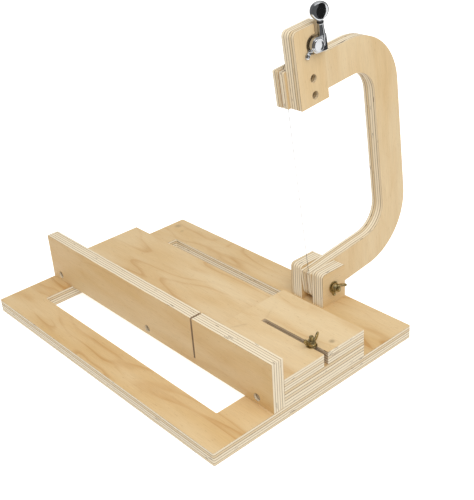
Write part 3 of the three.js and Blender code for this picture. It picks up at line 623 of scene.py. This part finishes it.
class HardwareSettings(bpy.types.PropertyGroup):
    """Metal parts."""

    clamp_pitch: FloatProperty(
        name="Clamp thread pitch", description="Thread pitch of the clamp bolt, in millimetres",
        default=0.9, min=0.5, max=2.0,
    )
    pivot_pitch: FloatProperty(
        name="Pivot thread pitch", description="Thread pitch of the pivot bolt, in millimetres",
        default=1.0, min=0.5, max=2.0,
    )
    zinc_colour: FloatVectorProperty(
        name="Yellow zinc", description="Bolts, washers and wing nuts", subtype="COLOR", size=4,
        default=linear("#9C8A5C"), min=0, max=1,
    )
    chrome_colour: FloatVectorProperty(
        name="Chrome", description="Machine head and its button", subtype="COLOR", size=4,
        default=linear("#C4C6C8"), min=0, max=1,
    )


class StageSettings(bpy.types.PropertyGroup):
    """Floor, lights and camera."""

    floor_colour: FloatVectorProperty(
        name="Floor", description="Paper sweep under the cutter", subtype="COLOR", size=4,
        default=linear("#FBFAF8"), min=0, max=1,
    )
    sky: FloatProperty(
        name="Room light", description="Strength of the even light all round", default=0.72, min=0,
    )
    key: FloatProperty(
        name="Key light", description="Soft box above and to the right", default=13.0, min=0, unit="POWER",
    )
    fill: FloatProperty(name="Fill light", description="Soft box in front", default=2.6, min=0, unit="POWER")
    lens: FloatProperty(name="Lens", description="Camera focal length in millimetres", default=63.31, min=10)
    turn: FloatProperty(
        name="Turn", description="Camera's turn round the cutter from the front", subtype="ANGLE",
        unit="ROTATION", default=math.radians(49.91),
    )
    rise: FloatProperty(
        name="Rise", description="Camera's height angle", subtype="ANGLE", unit="ROTATION",
        default=math.radians(28.4),
    )
    roll: FloatProperty(
        name="Roll", description="Camera's roll", subtype="ANGLE", unit="ROTATION",
        default=math.radians(-4.19),
    )
    distance: FloatProperty(
        name="Distance", description="From the camera to its aim", subtype="DISTANCE", unit="LENGTH",
        default=1.09416,
    )
    aim: FloatVectorProperty(
        name="Aim", description="Point the camera looks at", subtype="XYZ", unit="LENGTH", size=3,
        default=(-0.03907, 0.22728, 0.040),
    )


# --- Pieces ---------------------------------------------------------------------------------------


class LOAFCUTTER_OT_boards(bpy.types.Operator):
    """Finishes the base, tray, fence, length stop and pivot cheeks in plywood"""

    bl_idname = "loaf_cutter.boards"
    bl_label = "Base, tray, fence, stop and cheeks"

    def execute(self, context):
        edge = context.scene.loaf_cutter_boards.edge_round
        x, y, z = Vector((1, 0, 0)), Vector((0, 1, 0)), Vector((0, 0, 1))
        # node: direction of the grain, direction across it, seed, honey share, strength of figure
        looks = {
            "base_board": (x, y, 3, 0.6, 0.75),
            "tray_board": (x, y, 11, 0.35, 0.5),
            "stop_plate": (x, y, 23, 0.35, 0.35),
            "fence_board": (x, z, 31, 0.75, 0.3),
            "left_cheek": (y, z, 43, 0.6, 0.3),
            "right_cheek": (y, z, 53, 0.65, 0.3),
        }
        kerf = own_box("bow_frame")
        kerf_x = (kerf[0].x + kerf[1].x) / 2
        for name, (along, across, seed, honey, figure) in looks.items():
            low, high = own_box(name)
            through = along.cross(across)
            corner = low.copy()
            if sum(through) < 0:
                corner = Vector((low.x, high.y, low.z))
            thickness = abs((high - low).dot(through))
            turn = Matrix((along, across, through))
            spots, burn_and_shade_boxes = [], []
            if name == "stop_plate":
                spots = [((108.6, 78.2), 4.0, 0.5)]
                bolt_low, bolt_high = own_box("clamp_bolt")
                slot_y = (bolt_low.y + bolt_high.y) / 2 - low.y
                # The slot's walls are darkened in scorch brown, painted shade inside the deep slot.
                burn_and_shade_boxes = [((78.0, slot_y, 7.5), (51.0, 2.9, 9.0), 0.3)]
            if name == "base_board":
                spots = [((11.6, 269.8), 7.0, 0.4), ((27.8, 263.9), 4.0, 0.25)]
            if name in ("fence_board", "tray_board"):
                # The kerf's walls are darkened in scorch brown, painted shade inside the narrow saw cut.
                tall = (high.z + 5 - KERF_FLOOR) / 2
                middle = turn @ (Vector((kerf_x, (low.y + high.y) / 2, KERF_FLOOR - 0.1 + tall)) - corner)
                size = turn @ Vector((1.25, 90.0, tall))
                burn_and_shade_boxes = [(middle, tuple(abs(s) for s in size), 0.6)]
            material = plywood(
                "plywood_" + name, along, across, corner, thickness, seed, honey, figure, spots, burn_and_shade_boxes
            )
            finish_node(name, material, edge)
        return {"FINISHED"}


class LOAFCUTTER_OT_bow(bpy.types.Operator):
    """Finishes the bow and its head plate in plywood"""

    bl_idname = "loaf_cutter.bow"
    bl_label = "Bow and head plate"

    def execute(self, context):
        edge = context.scene.loaf_cutter_boards.edge_round
        turn = BOW_PLACE.to_3x3()
        up, forward = turn @ Vector((0, 0, 1)), turn @ Vector((0, -1, 0))
        post = BOW_PLACE.inverted() @ (Vector(JOINTS["post_turn"]["pos_m"]) / MM)
        worm = BOW_PLACE.inverted() @ (Vector(JOINTS["button_turn"]["pos_m"]) / MM)
        for name, seed, honey, figure in (("bow_frame", 61, 0.25, 0.12), ("head_plate", 71, 0.4, 0.2)):
            low, high = own_box(name, BOW_PLACE)
            corner = BOW_PLACE @ Vector((low.x, high.y, low.z))
            burn_and_shade_boxes = []
            if name == "head_plate":
                # The rebate's wall beside the machine head's tube, darkened in scorch brown as painted shade
                # in the rebate.
                wall = high.y - worm.y + 5.4
                burn_and_shade_boxes = [((post.z - low.z + 14, wall, 14.0), (14.5, 0.3, 2.7), 0.9)]
            material = plywood(
                "plywood_" + name, up, forward, corner, high.x - low.x, seed, honey, figure, (), burn_and_shade_boxes
            )
            finish_node(name, material, edge)
        return {"FINISHED"}


class LOAFCUTTER_OT_wood_screws(bpy.types.Operator):
    """Builds the countersunk wood screws with cross recesses and cut threads"""

    bl_idname = "loaf_cutter.wood_screws"
    bl_label = "Wood screws"

    def execute(self, context):
        material = finish("plain_steel_screw")
        for name in frame["nodes"]:
            if "screw" not in name or name in ("ear_screw", "button_screw"):
                continue
            in_bow = name.startswith("head")
            place = BOW_PLACE if in_bow else Matrix()
            low, high = own_box(name, place)
            size, middle = high - low, (low + high) / 2
            axis = max(range(3), key=lambda i: size[i])
            out = Vector((0, 0, 0))
            out[axis] = 1 if in_bow else -1
            head = middle.copy()
            head[axis] = high[axis] if in_bow else low[axis]
            radius = min(size) / 2
            length = size[axis]
            shank = 0.49 * radius
            stem = turned(eased([
                (0, -length), (0.25, -length + 0.4), (0.72 * shank, -length + 2.4 * shank),
                (0.72 * shank, -0.4 * length), (0.9 * shank, -0.36 * length),
                (0.9 * shank, -0.9 * radius), (0.97 * radius, -0.34), (0.97 * radius, -0.2),
            ], 0.3), 32)
            winding = thread(shank, 0.3 * shank, 1.8, -length + 2.4 * shank, -0.4 * length)
            cap = driver_head(0.985 * radius, 0.0, 0.42 * radius, 0.3)
            build("wood_" + name, frame["nodes"][name]["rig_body"], [stem, winding, cap], material,
                  [name], place @ facing(head, out))
        return {"FINISHED"}


def washer_ring(inner, outer, thickness):
    """A punched washer about +Z, its edges broken."""
    section = [(inner, 0), (outer, 0), (outer, thickness), (inner, thickness)]
    return turned(eased(section, 0.22, True), 64, True)


def wing_nut(bore, hub, hub_height, span, height, thick):
    """A cast wing nut on +Z with its wings spread along x."""
    ring = turned(eased([
        (bore, 0), (0.93 * hub, 0), (hub, 0.12 * hub_height), (0.97 * hub, 0.45 * hub_height),
        (0.78 * hub, hub_height), (bore, hub_height),
    ], 0.5, True), 56, True)
    # Spine of a wing and its half width and half thickness, as shares of the nut's size.
    spine = curved([
        (0.30, 0.22, 0.16, 1.0), (0.46, 0.30, 0.18, 0.85), (0.62, 0.45, 0.19, 0.75),
        (0.74, 0.63, 0.19, 0.75), (0.81, 0.78, 0.16, 0.7), (0.84, 0.87, 0.10, 0.55), (0.85, 0.91, 0.02, 0.15),
    ], 4)
    parts = [ring]
    for side in (1, -1):
        loops = []
        for i, (u, v, half, slim) in enumerate(spine):
            a, b = spine[max(i - 1, 0)], spine[min(i + 1, len(spine) - 1)]
            run = Vector(((b[0] - a[0]) * span / 2, 0, (b[1] - a[1]) * height)).normalized()
            over = Vector((-run.z, 0, run.x))
            centre = Vector((u * span / 2, 0, v * height))
            loop = []
            for k in range(20):
                c, s = math.cos(2 * math.pi * k / 20), math.sin(2 * math.pi * k / 20)
                wide = math.copysign(abs(c) ** 0.75, c) * half * height
                deep = math.copysign(abs(s) ** 0.75, s) * slim * thick / 2
                spot = centre + over * wide + Vector((0, deep, 0))
                loop.append((spot.x * side, spot.y, spot.z))
            loops.append(loop)
        parts.append(loft(loops))
    return parts


def bolt(radius, length, head_radius, head_height, pitch, plain):
    """A pan-headed bolt on +Z from its seat at z = 0, threaded from plain to its end."""
    shank = turned(eased([
        (0, -0.4), (radius, -0.4), (radius, plain), (0.84 * radius, plain + 0.3),
        (0.84 * radius, length - 0.5), (0.6 * radius, length), (0, length),
    ], 0.15), 40)
    winding = thread(radius, 0.17 * radius, pitch, plain, length - 0.6)
    head = driver_head(0.96 * head_radius, 0.45 * head_height, 0.5 * head_height, 0.4 * head_height)
    flip = Matrix.Translation((0, 0, -0.5 * head_height)) @ Matrix.Rotation(math.pi, 4, "X")
    skirt = turned(eased([
        (0, -0.3 * head_height), (0.96 * head_radius, -0.5 * head_height), (head_radius, -0.2 * head_height),
        (head_radius, 0), (0, 0),
    ], 0.35), 64)
    return [shank, winding, moved(head, flip), skirt]


class LOAFCUTTER_OT_clamp(bpy.types.Operator):
    """Builds the length stop's clamp: bolt, washer and wing nut"""

    bl_idname = "loaf_cutter.clamp"
    bl_label = "Stop clamp"

    def execute(self, context):
        kit = context.scene.loaf_cutter_hardware
        zinc = finish("yellow_passivated_zinc")
        low, high = own_box("clamp_bolt")
        wash_low, wash_high = own_box("clamp_washer")
        nut_low, nut_high = own_box("clamp_wing_nut")
        x, y = (low.x + high.x) / 2, (low.y + high.y) / 2
        head = (high.x - low.x) / 2
        seat = low.z + 3.0
        build("clamp_screw_bolt", "base", bolt(2.4, high.z - seat, head, 3.0, kit.clamp_pitch, 14.0), zinc,
              ["clamp_bolt"], Matrix.Translation((x, y, seat)))
        ring = washer_ring(2.46, (wash_high.x - wash_low.x) / 2, wash_high.z - wash_low.z)
        build("clamp_flat_washer", "base", [ring], zinc, ["clamp_washer"],
              Matrix.Translation((x, y, wash_low.z)))
        spread = Matrix.Rotation(math.radians(92), 4, "Z")
        nut = wing_nut(2.46, 5.0, 5.4, nut_high.y - nut_low.y, nut_high.z - nut_low.z, 2.3)
        build("clamp_cast_wing_nut", "clamp_nut", nut, zinc, ["clamp_wing_nut"],
              Matrix.Translation((x, y, nut_low.z)) @ spread)
        return {"FINISHED"}


class LOAFCUTTER_OT_pivot(bpy.types.Operator):
    """Builds the bow's pivot: bolt, two washers and wing nut"""

    bl_idname = "loaf_cutter.pivot"
    bl_label = "Bow pivot"

    def execute(self, context):
        kit = context.scene.loaf_cutter_hardware
        zinc = finish("yellow_passivated_zinc")
        low, high = own_box("pivot_bolt")
        y, z = (low.y + high.y) / 2, (low.z + high.z) / 2
        seat = low.x + 3.6
        right = (1, 0, 0)
        pin = bolt(3.0, high.x - seat, (high.y - low.y) / 2, 3.6, kit.pivot_pitch, 44.0)
        build("pivot_screw_bolt", "base", pin, zinc, ["pivot_bolt"],
              facing((seat, y, z), right))
        for side in ("left", "right"):
            wash_low, wash_high = own_box("pivot_washer_" + side)
            ring = washer_ring(3.06, (wash_high.y - wash_low.y) / 2, wash_high.x - wash_low.x)
            build("pivot_flat_washer_" + side, "base", [ring], zinc, ["pivot_washer_" + side],
                  facing((wash_low.x, y, z), right))
        nut_low, nut_high = own_box("pivot_wing_nut")
        # The wings lie nearly level, the rear one a little higher.
        spread = Matrix.Translation((nut_low.x, y, z)) @ Matrix.Rotation(math.radians(13), 4, "X")
        spread = spread @ Matrix(((0, 0, 1, 0), (1, 0, 0, 0), (0, 1, 0, 0), (0, 0, 0, 1)))
        nut = wing_nut(3.06, 5.8, 6.0, 24.0, nut_high.x - nut_low.x, 3.2)
        build("pivot_cast_wing_nut", "pivot_nut", nut, zinc, ["pivot_wing_nut"], spread)
        return {"FINISHED"}


class LOAFCUTTER_OT_machine_head(bpy.types.Operator):
    """Builds the sealed machine head: housing, cap, ear screw, bushing, post and gear"""

    bl_idname = "loaf_cutter.machine_head"
    bl_label = "Machine head"

    def execute(self, context):
        chrome = finish("chrome_plated_die_casting")
        back = BOW_PLACE.inverted()
        post = back @ (Vector(JOINTS["post_turn"]["pos_m"]) / MM)
        worm = back @ (Vector(JOINTS["button_turn"]["pos_m"]) / MM)
        low, high = own_box("tuner_housing", BOW_PLACE)
        cap_low, cap_high = own_box("tuner_cap", BOW_PLACE)
        face = own_box("head_plate", BOW_PLACE)[1].x
        top = cap_low.x - 0.06
        radius = (cap_high.y - cap_low.y) / 2 + 0.8

        # Cup: a round that runs out square to the worm tube, its upper rim well rounded.
        outline = [
            (radius * math.cos(math.radians(a)), radius * math.sin(math.radians(a)))
            for a in range(78, 268, 5)
        ]
        away = worm.y - post.y
        outline += eased([
            (0.1 * away, -radius), (away + 4.1, -9.1), (away + 3.9, 8.3), (0.3 * away, radius - 0.1),
        ], 1.9)[1:-1]
        loops = []
        for x, share in ((face + 0.2, 0.98), (face + 0.45, 1.0), (top - 1.0, 1.0), (top - 0.45, 0.985),
                         (top - 0.12, 0.955), (top, 0.92)):
            loops.append([(x, post.y + a * share, post.z + b * share) for a, b in outline])
        cup = loft(loops)
        foot = turned(eased([(0, 0), (6.2, 0), (6.2, face + 0.6 - low.x), (0, face + 0.6 - low.x)], 0.3), 64)
        foot = moved(foot, facing((low.x, post.y, post.z), (1, 0, 0)))
        # Worm tube: a domed foot, a long taper and a rolled lip.
        r = 0.42 * away
        tube_top = high.z - post.z
        sleeve = turned(eased([
            (0, -6.6), (0.6 * r, -6.3), (0.85 * r, -4.6), (r, -1.0), (r, 7.5), (0.77 * r, tube_top - 1.3),
            (0.82 * r, tube_top - 1.0), (0.82 * r, tube_top - 0.2), (0.5 * r, tube_top),
            (0.5 * r, tube_top - 0.6), (0, tube_top - 0.6),
        ], 0.5), 48)
        sleeve = moved(sleeve, Matrix.Translation((worm.x, worm.y, post.z)))
        # Ear: a flat tongue with a round end, joined to the cup by a thick root.
        ear_low, ear_high = own_box("ear_screw", BOW_PLACE)
        eye = Vector(((ear_low.y + ear_high.y) / 2 - post.y, (ear_low.z + ear_high.z) / 2 - post.z))
        run = eye.normalized()
        side = Vector((-run.y, run.x)) * 2.6
        tongue = [tuple(run * 5 - side), tuple(eye - side)]
        tongue += [
            tuple(eye + run * 2.6 * math.sin(math.radians(a)) - side * math.cos(math.radians(a)))
            for a in range(15, 180, 15)
        ]
        tongue += [tuple(eye + side), tuple(run * 5 + side)]
        ear_loops = []
        for x, inset in ((face + 0.2, 0.0), (face + 1.1, 0.0), (face + 1.45, 0.25), (face + 1.6, 0.7)):
            middle = run * (0.5 * eye.length + 2.5)
            ear_loops.append([
                (x, post.y + middle.x + (a - middle.x) * (1 - 0.13 * inset),
                 post.z + middle.y + (b - middle.y) * (1 - 0.13 * inset))
                for a, b in tongue
            ])
        joint = run * (radius - 1.2)
        root = moved(turned(eased([(0, 0), (2.4, 0), (1.6, 3.2), (0, 3.4)], 0.6), 32),
                     facing((face + 0.6, post.y + joint.x, post.z + joint.y), (1, 0, 0)))
        build("tuner_cast_housing", "bow", [cup, foot, sleeve, loft(ear_loops), root], chrome,
              ["tuner_housing"], BOW_PLACE)

        # Cap: a pressed disc, a fine step inside its rim and a barely domed middle.
        cap_r, cap_h = (cap_high.y - cap_low.y) / 2, cap_high.x - cap_low.x
        cap = turned(eased([
            (0, -0.1), (0.97 * cap_r, -0.1), (cap_r, 0.2 * cap_h), (cap_r, 0.5 * cap_h),
            (0.93 * cap_r, 0.86 * cap_h), (0.86 * cap_r, 0.88 * cap_h), (0.84 * cap_r, 0.8 * cap_h),
            (0.5 * cap_r, 0.93 * cap_h), (0, cap_h),
        ], 0.25), 72)
        build("tuner_pressed_cap", "bow", [cap], chrome, ["tuner_cap"],
              BOW_PLACE @ facing((cap_low.x, post.y, post.z), (1, 0, 0)))

        # Ear screw: a small round head with a cross recess.
        ear_r = (ear_high.y - ear_low.y) / 2
        head = driver_head(ear_r, 0.7, 0.75, 0.5)
        stem = turned([(0, -9.0), (0.9, -7.6), (0.9, -0.4), (0, -0.4)], 24)
        winding = thread(1.1, 0.3, 1.0, -7.5, -1.6)
        seat = facing((ear_high.x - 0.75, post.y + eye.x, post.z + eye.y), (1, 0, 0))
        build("ear_cross_screw", "bow", [head, stem, winding], chrome, ["ear_screw"],
              BOW_PLACE @ seat)

        # Bushing: a chamfered hexagon on a threaded sleeve, drawn up on a flat washer.
        bush_low, bush_high = own_box("post_bushing", BOW_PLACE)
        flat_low, flat_high = own_box("bushing_washer", BOW_PLACE)
        hexagon = []
        for x, ring_r in ((0.0, 6.6), (1.9, 6.6), (2.4, 5.9)):
            loop = []
            for i in range(72):
                a = 2 * math.pi * i / 72
                across = 5.5 / math.cos((a + math.pi / 6) % (math.pi / 3) - math.pi / 6)
                loop.append((min(across, ring_r) * math.cos(a), min(across, ring_r) * math.sin(a), x))
            hexagon.append(loop)
        bore = turned([(5.9, 2.4), (3.5, 2.4), (3.06, 2.0), (3.06, 0.0), (5.9, 0.0)], 72, True)
        outer = loft(hexagon, capped=False)
        sleeve_len = bush_high.x - flat_low.x
        section = [(3.06, -sleeve_len), (4.86, -sleeve_len), (4.86, 0.2), (3.06, 0.2)]
        shell = turned(eased(section, 0.2, True), 56, True)
        build("post_hex_bushing", "bow", [outer, bore, shell], chrome, ["post_bushing"],
              BOW_PLACE @ facing((bush_low.x + 2.4, post.y, post.z), (-1, 0, 0)), sharp=30)
        ring = washer_ring(4.96, (flat_high.y - flat_low.y) / 2, flat_high.x - flat_low.x)
        build("bushing_flat_washer", "bow", [ring], chrome, ["bushing_washer"],
              BOW_PLACE @ facing((flat_low.x, post.y, post.z), (1, 0, 0)))
        finish_node("string_post", chrome, 0.12)
        finish_node("gear_wheel", finish("turned_brass"), 0.08)
        return {"FINISHED"}


class LOAFCUTTER_OT_button(bpy.types.Operator):
    """Builds the tuning button, its screw and collar on the worm shaft"""

    bl_idname = "loaf_cutter.button"
    bl_label = "Tuning button"

    def execute(self, context):
        chrome = finish("chrome_plated_die_casting")
        worm = BOW_PLACE.inverted() @ (Vector(JOINTS["button_turn"]["pos_m"]) / MM)
        own = BOW_PLACE @ Matrix.Translation((worm.x, worm.y, 0)) @ Matrix.Rotation(BUTTON_TURN, 4, "Z")
        low, high = own_box("tuner_button", own)
        collar_foot = own_box("button_collar", own)[0].z
        foot = low.z
        # The oval stands 0.4 mm clear of the neck's foot.
        wide, tall, thick = (high.y - low.y) / 2, (high.z - low.z - 0.4) / 2, (high.x - low.x) / 2
        centre_z = high.z - tall
        # Oval body: a crisp shoulder round each broad face, the faces slightly crowned.
        loops = []
        rows = [
            (0.999, 0.04), (0.992, 0.5), (0.97, 0.8), (0.9, 0.89), (0.76, 0.945), (0.5, 0.98),
            (0.26, 0.995), (0.0, 1.0),
        ]
        rows = rows + [(-depth, share) for depth, share in reversed(rows[:-1])]
        for depth, share in rows:
            loop = []
            for i in range(64):
                a = 2 * math.pi * i / 64
                c, s = math.cos(a), math.sin(a)
                y = math.copysign(abs(c) ** 0.92, c) * wide * share
                z = math.copysign(abs(s) ** 0.92, s) * tall * share
                # The lower end narrows to the neck.
                y *= 1 - 0.16 * step(0.0, tall, -z)
                # Each broad face is crowned across its width.
                crown = 1 - 0.16 * (y / wide) ** 2
                loop.append((depth * thick * crown, y, z + centre_z - foot))
            loops.append(loop)
        neck = turned(eased([
            (0, 0), (3.1, 0), (3.0, 0.9), (2.5, 2.2), (2.9, 4.6), (0, 5.5),
        ], 0.6), 40)
        build("tuner_oval_button", "button", [loft(loops), neck], chrome, ["tuner_button"],
              own @ Matrix.Translation((0, 0, foot)), sharp=50)
        screw_low, screw_high = own_box("button_screw", own)
        screw_r = (screw_high.x - screw_low.x) / 2
        cap = driver_head(0.95 * screw_r, 0.3, 0.6, 0.7)
        build("button_cross_screw", "button", [cap], chrome, ["button_screw"],
              own @ Matrix.Translation((0, 0, high.z - 0.5)))
        ring = turned(eased([(1.66, 0), (3.5, 0), (3.5, 1.5), (1.66, 1.5)], 0.35, True), 56, True)
        build("button_nylon_collar", "button", [ring], finish("black_nylon"),
              ["button_collar"], own @ Matrix.Translation((0, 0, collar_foot)))
        finish_node("worm_shaft", finish("turned_steel"), 0.06)
        return {"FINISHED"}


class LOAFCUTTER_OT_cutting_wire(bpy.types.Operator):
    """Builds the taut wire, its turns round the post and the crimped bead that anchors it"""

    bl_idname = "loaf_cutter.cutting_wire"
    bl_label = "Cutting wire and bead"

    def execute(self, context):
        back = BOW_PLACE.inverted()
        post = back @ (Vector(JOINTS["post_turn"]["pos_m"]) / MM)
        bead_low, bead_high = own_box("wire_bead", BOW_PLACE)
        bow_high = own_box("bow_frame", BOW_PLACE)[1]
        y = (bead_low.y + bead_high.y) / 2
        # The wire is not quite parallel to the post of the bow: its slope from the CAD wire.
        points = [back @ (v.co / MM) for v in frame["nodes"]["cutting_wire"].data.vertices]
        span = [p for p in points if 150 < p.z < bow_high.z - 1]
        middle = sum(span, Vector()) / len(span)
        slope = (middle.y - y) / (middle.z - bead_low.z)
        radius, turns, pitch = 0.25, 3, 0.62
        coil = 2.81

        def at(height):
            return (0, y + slope * (height - bead_low.z), height)

        # The wire leaves the kerf's end and touches the post's waist along a tangent.
        top_y = at(bow_high.z)[1]
        bend = Vector((top_y - post.y, bow_high.z + 0.5 - post.z))
        start = math.atan2(bend.y, bend.x) - math.acos(coil / bend.length)
        meet = Vector((coil * math.cos(start), coil * math.sin(start)))
        path = [at(z) for z in (bead_low.z - 0.6, bead_high.z + 2, 100, 200, bow_high.z - 0.4)]
        path += [(0, top_y + 0.02, bow_high.z + 0.2), (0, top_y + 0.2, bow_high.z + 0.7)]
        for share in (0.1, 0.35, 0.7, 0.95):
            spot = bend.lerp(meet, share)
            path.append((0, post.y + spot.x, post.z + spot.y))
        steps = 36 * turns
        for i in range(steps + 1):
            a = start - 2 * math.pi * turns * i / steps
            x = -pitch * turns * i / steps
            path.append((x, post.y + coil * math.cos(a), post.z + coil * math.sin(a)))
        last = Vector(path[-1])
        tangent = Vector((0, math.sin(start), -math.cos(start)))
        for reach, drift in ((1.2, -0.1), (2.3, -0.25)):
            path.append(tuple(last + tangent * reach + Vector((drift, 0, 0))))
        build("taut_cutting_wire", "bow", [tube(path, radius, 14)], finish("drawn_stainless_wire"),
              ["cutting_wire"], BOW_PLACE, sharp=60)
        bead_r = (bead_high.x - bead_low.x) / 2
        tall = bead_high.z - bead_low.z
        bead = turned(eased([
            (0.33, 0), (0.62 * bead_r, 0), (bead_r, 0.25 * tall), (bead_r, 0.44 * tall),
            (0.8 * bead_r, 0.5 * tall),
            (bead_r, 0.56 * tall), (bead_r, 0.75 * tall), (0.62 * bead_r, tall), (0.33, tall),
        ], 0.25, True), 40, True)
        build("crimped_wire_bead", "bow", [bead], finish("turned_brass"), ["wire_bead"],
              BOW_PLACE @ Matrix.Translation((0, y, bead_low.z)))
        return {"FINISHED"}


class LOAFCUTTER_OT_stage(bpy.types.Operator):
    """Lays the pale floor, hangs the soft lights and sets up the camera"""

    bl_idname = "loaf_cutter.stage"
    bl_label = "Floor, lights and camera"

    def execute(self, context):
        scene = context.scene
        stage = scene.loaf_cutter_stage
        scene.view_settings.view_transform = "Standard"

        # Seamless background paper: matt, off-white, a faint tooth.
        paper, tree, shader = new_material("matt_background_paper", Roughness=0.9)
        shader.inputs["Emission Strength"].default_value = 0.62
        shader.inputs["Emission Color"].default_value = (1, 1, 1, 1)
        place = add_node(tree, "ShaderNodeTexCoord")
        tooth = add_node(tree, "ShaderNodeTexNoise", {
            "Vector": place.outputs["Object"], "Scale": 900.0, "Detail": 3.0,
        })
        colour = add_node(tree, "ShaderNodeValToRGB", {
            "Fac": tooth,
        }, stops=[(0.3, linear("#F8F7F5")), (0.7, stage.floor_colour)])
        tree.links.new(colour.outputs[0], shader.inputs["Base Color"])
        mesh = bpy.data.meshes.new("floor")
        half = 5.0
        corners = [(-half, -half, 0), (half, -half, 0), (half, half, 0), (-half, half, 0)]
        mesh.from_pydata(corners, [], [(0, 1, 2, 3)])
        mesh.materials.append(paper)
        floor = bpy.data.objects.new("floor", mesh)
        scene.collection.objects.link(floor)
        floor.location.z = -0.0003
        # The boards take their light from the room, not from the glowing floor.
        floor.visible_diffuse = False

        # Screens curved round the machine head, out of shot, which only the chrome mirrors.
        ring, middle_x, middle_y, panels = 0.55, 0.11, 0.2235, 8
        for name, shade, start, end, foot, top in (
            ("black_screen", "#101011", 6, 30, 0.0, 0.7), ("dark_screen", "#3A3B3D", 52, 120, 0.0, 0.9),
            ("grey_screen", "#77787A", -190, 6, 0.0, 1.1),
        ):
            card, tree, shader = new_material(name, Roughness=1.0)
            shader.inputs["Base Color"].default_value = linear(shade)
            verts = []
            for i in range(panels + 1):
                a = math.radians(start + (end - start) * i / panels)
                x, y = middle_x + ring * math.cos(a), middle_y + ring * math.sin(a)
                verts += [(x, y, foot), (x, y, top)]
            faces = [(2 * i, 2 * i + 2, 2 * i + 3, 2 * i + 1) for i in range(panels)]
            mesh = bpy.data.meshes.new(name)
            mesh.from_pydata(verts, [], faces)
            mesh.materials.append(card)
            screen = bpy.data.objects.new(name, mesh)
            scene.collection.objects.link(screen)
            screen.visible_camera = False
            screen.visible_diffuse = False
            screen.visible_shadow = False

        world = bpy.data.worlds.new("studio")
        world.use_nodes = True
        world.node_tree.nodes["Background"].inputs["Color"].default_value = (1.0, 0.995, 0.985, 1.0)
        world.node_tree.nodes["Background"].inputs["Strength"].default_value = stage.sky
        scene.world = world
        for name, power, size, spot in (
            ("key_softbox", stage.key, 1.3, (1.0, -0.18, 1.4)),
            ("fill_softbox", stage.fill, 1.6, (-0.5, -1.4765, 1.1)),
        ):
            lamp = bpy.data.lights.new(name, "AREA")
            lamp.energy = power
            lamp.size = size
            holder = bpy.data.objects.new(name, lamp)
            scene.collection.objects.link(holder)
            holder.location = spot
            aim = Vector((0.05, 0.1535, 0.1)) - Vector(spot)
            holder.rotation_mode = "QUATERNION"
            holder.rotation_quaternion = aim.to_track_quat("-Z", "Y")

        away = Vector((
            math.sin(stage.turn) * math.cos(stage.rise),
            -math.cos(stage.turn) * math.cos(stage.rise),
            math.sin(stage.rise),
        ))
        right = (-away).cross(Vector((0, 0, 1))).normalized()
        up = right.cross(-away)
        rolled_right = right * math.cos(stage.roll) + up * math.sin(stage.roll)
        rolled_up = up * math.cos(stage.roll) - right * math.sin(stage.roll)
        lens = bpy.data.cameras.new("camera")
        lens.lens = stage.lens
        lens.sensor_width = 36.0
        lens.clip_start = 0.01
        lens.clip_end = 50.0
        camera = bpy.data.objects.new("camera", lens)
        scene.collection.objects.link(camera)
        turn = Matrix((rolled_right, rolled_up, away)).transposed().to_4x4()
        camera.matrix_world = Matrix.Translation(Vector(stage.aim) + away * stage.distance) @ turn
        scene.camera = camera
        return {"FINISHED"}


PIECES = (
    LOAFCUTTER_OT_boards,
    LOAFCUTTER_OT_bow,
    LOAFCUTTER_OT_wood_screws,
    LOAFCUTTER_OT_clamp,
    LOAFCUTTER_OT_pivot,
    LOAFCUTTER_OT_machine_head,
    LOAFCUTTER_OT_button,
    LOAFCUTTER_OT_cutting_wire,
    LOAFCUTTER_OT_stage,
)


class LOAFCUTTER_PT_panel(bpy.types.Panel):
    """Lists the cutter's settings and the pieces to build"""

    bl_idname = "LOAFCUTTER_PT_panel"
    bl_label = "Loaf cutter"
    bl_space_type = "VIEW_3D"
    bl_region_type = "UI"
    bl_category = "Loaf cutter"

    def draw(self, context):
        for group in ("loaf_cutter_boards", "loaf_cutter_hardware", "loaf_cutter_stage"):
            settings = getattr(context.scene, group)
            box = self.layout.box()
            for key in settings.__annotations__:
                box.prop(settings, key)
        for made in PIECES:
            self.layout.operator(made.bl_idname)


SETTINGS = {
    "loaf_cutter_boards": BoardSettings,
    "loaf_cutter_hardware": HardwareSettings,
    "loaf_cutter_stage": StageSettings,
}


def register():
    for name, group in SETTINGS.items():
        bpy.utils.register_class(group)
        setattr(bpy.types.Scene, name, PointerProperty(type=group))
    for made in (*PIECES, LOAFCUTTER_PT_panel):
        bpy.utils.register_class(made)


def unregister():
    for made in reversed((*PIECES, LOAFCUTTER_PT_panel)):
        bpy.utils.unregister_class(made)
    for name, group in SETTINGS.items():
        delattr(bpy.types.Scene, name)
        bpy.utils.unregister_class(group)


def main():
    register()
    for made in PIECES:
        group, name = made.bl_idname.split(".")
        getattr(getattr(bpy.ops, group), name)()
    bpy.context.view_layer.update()


if __name__ == "__main__":
    main()
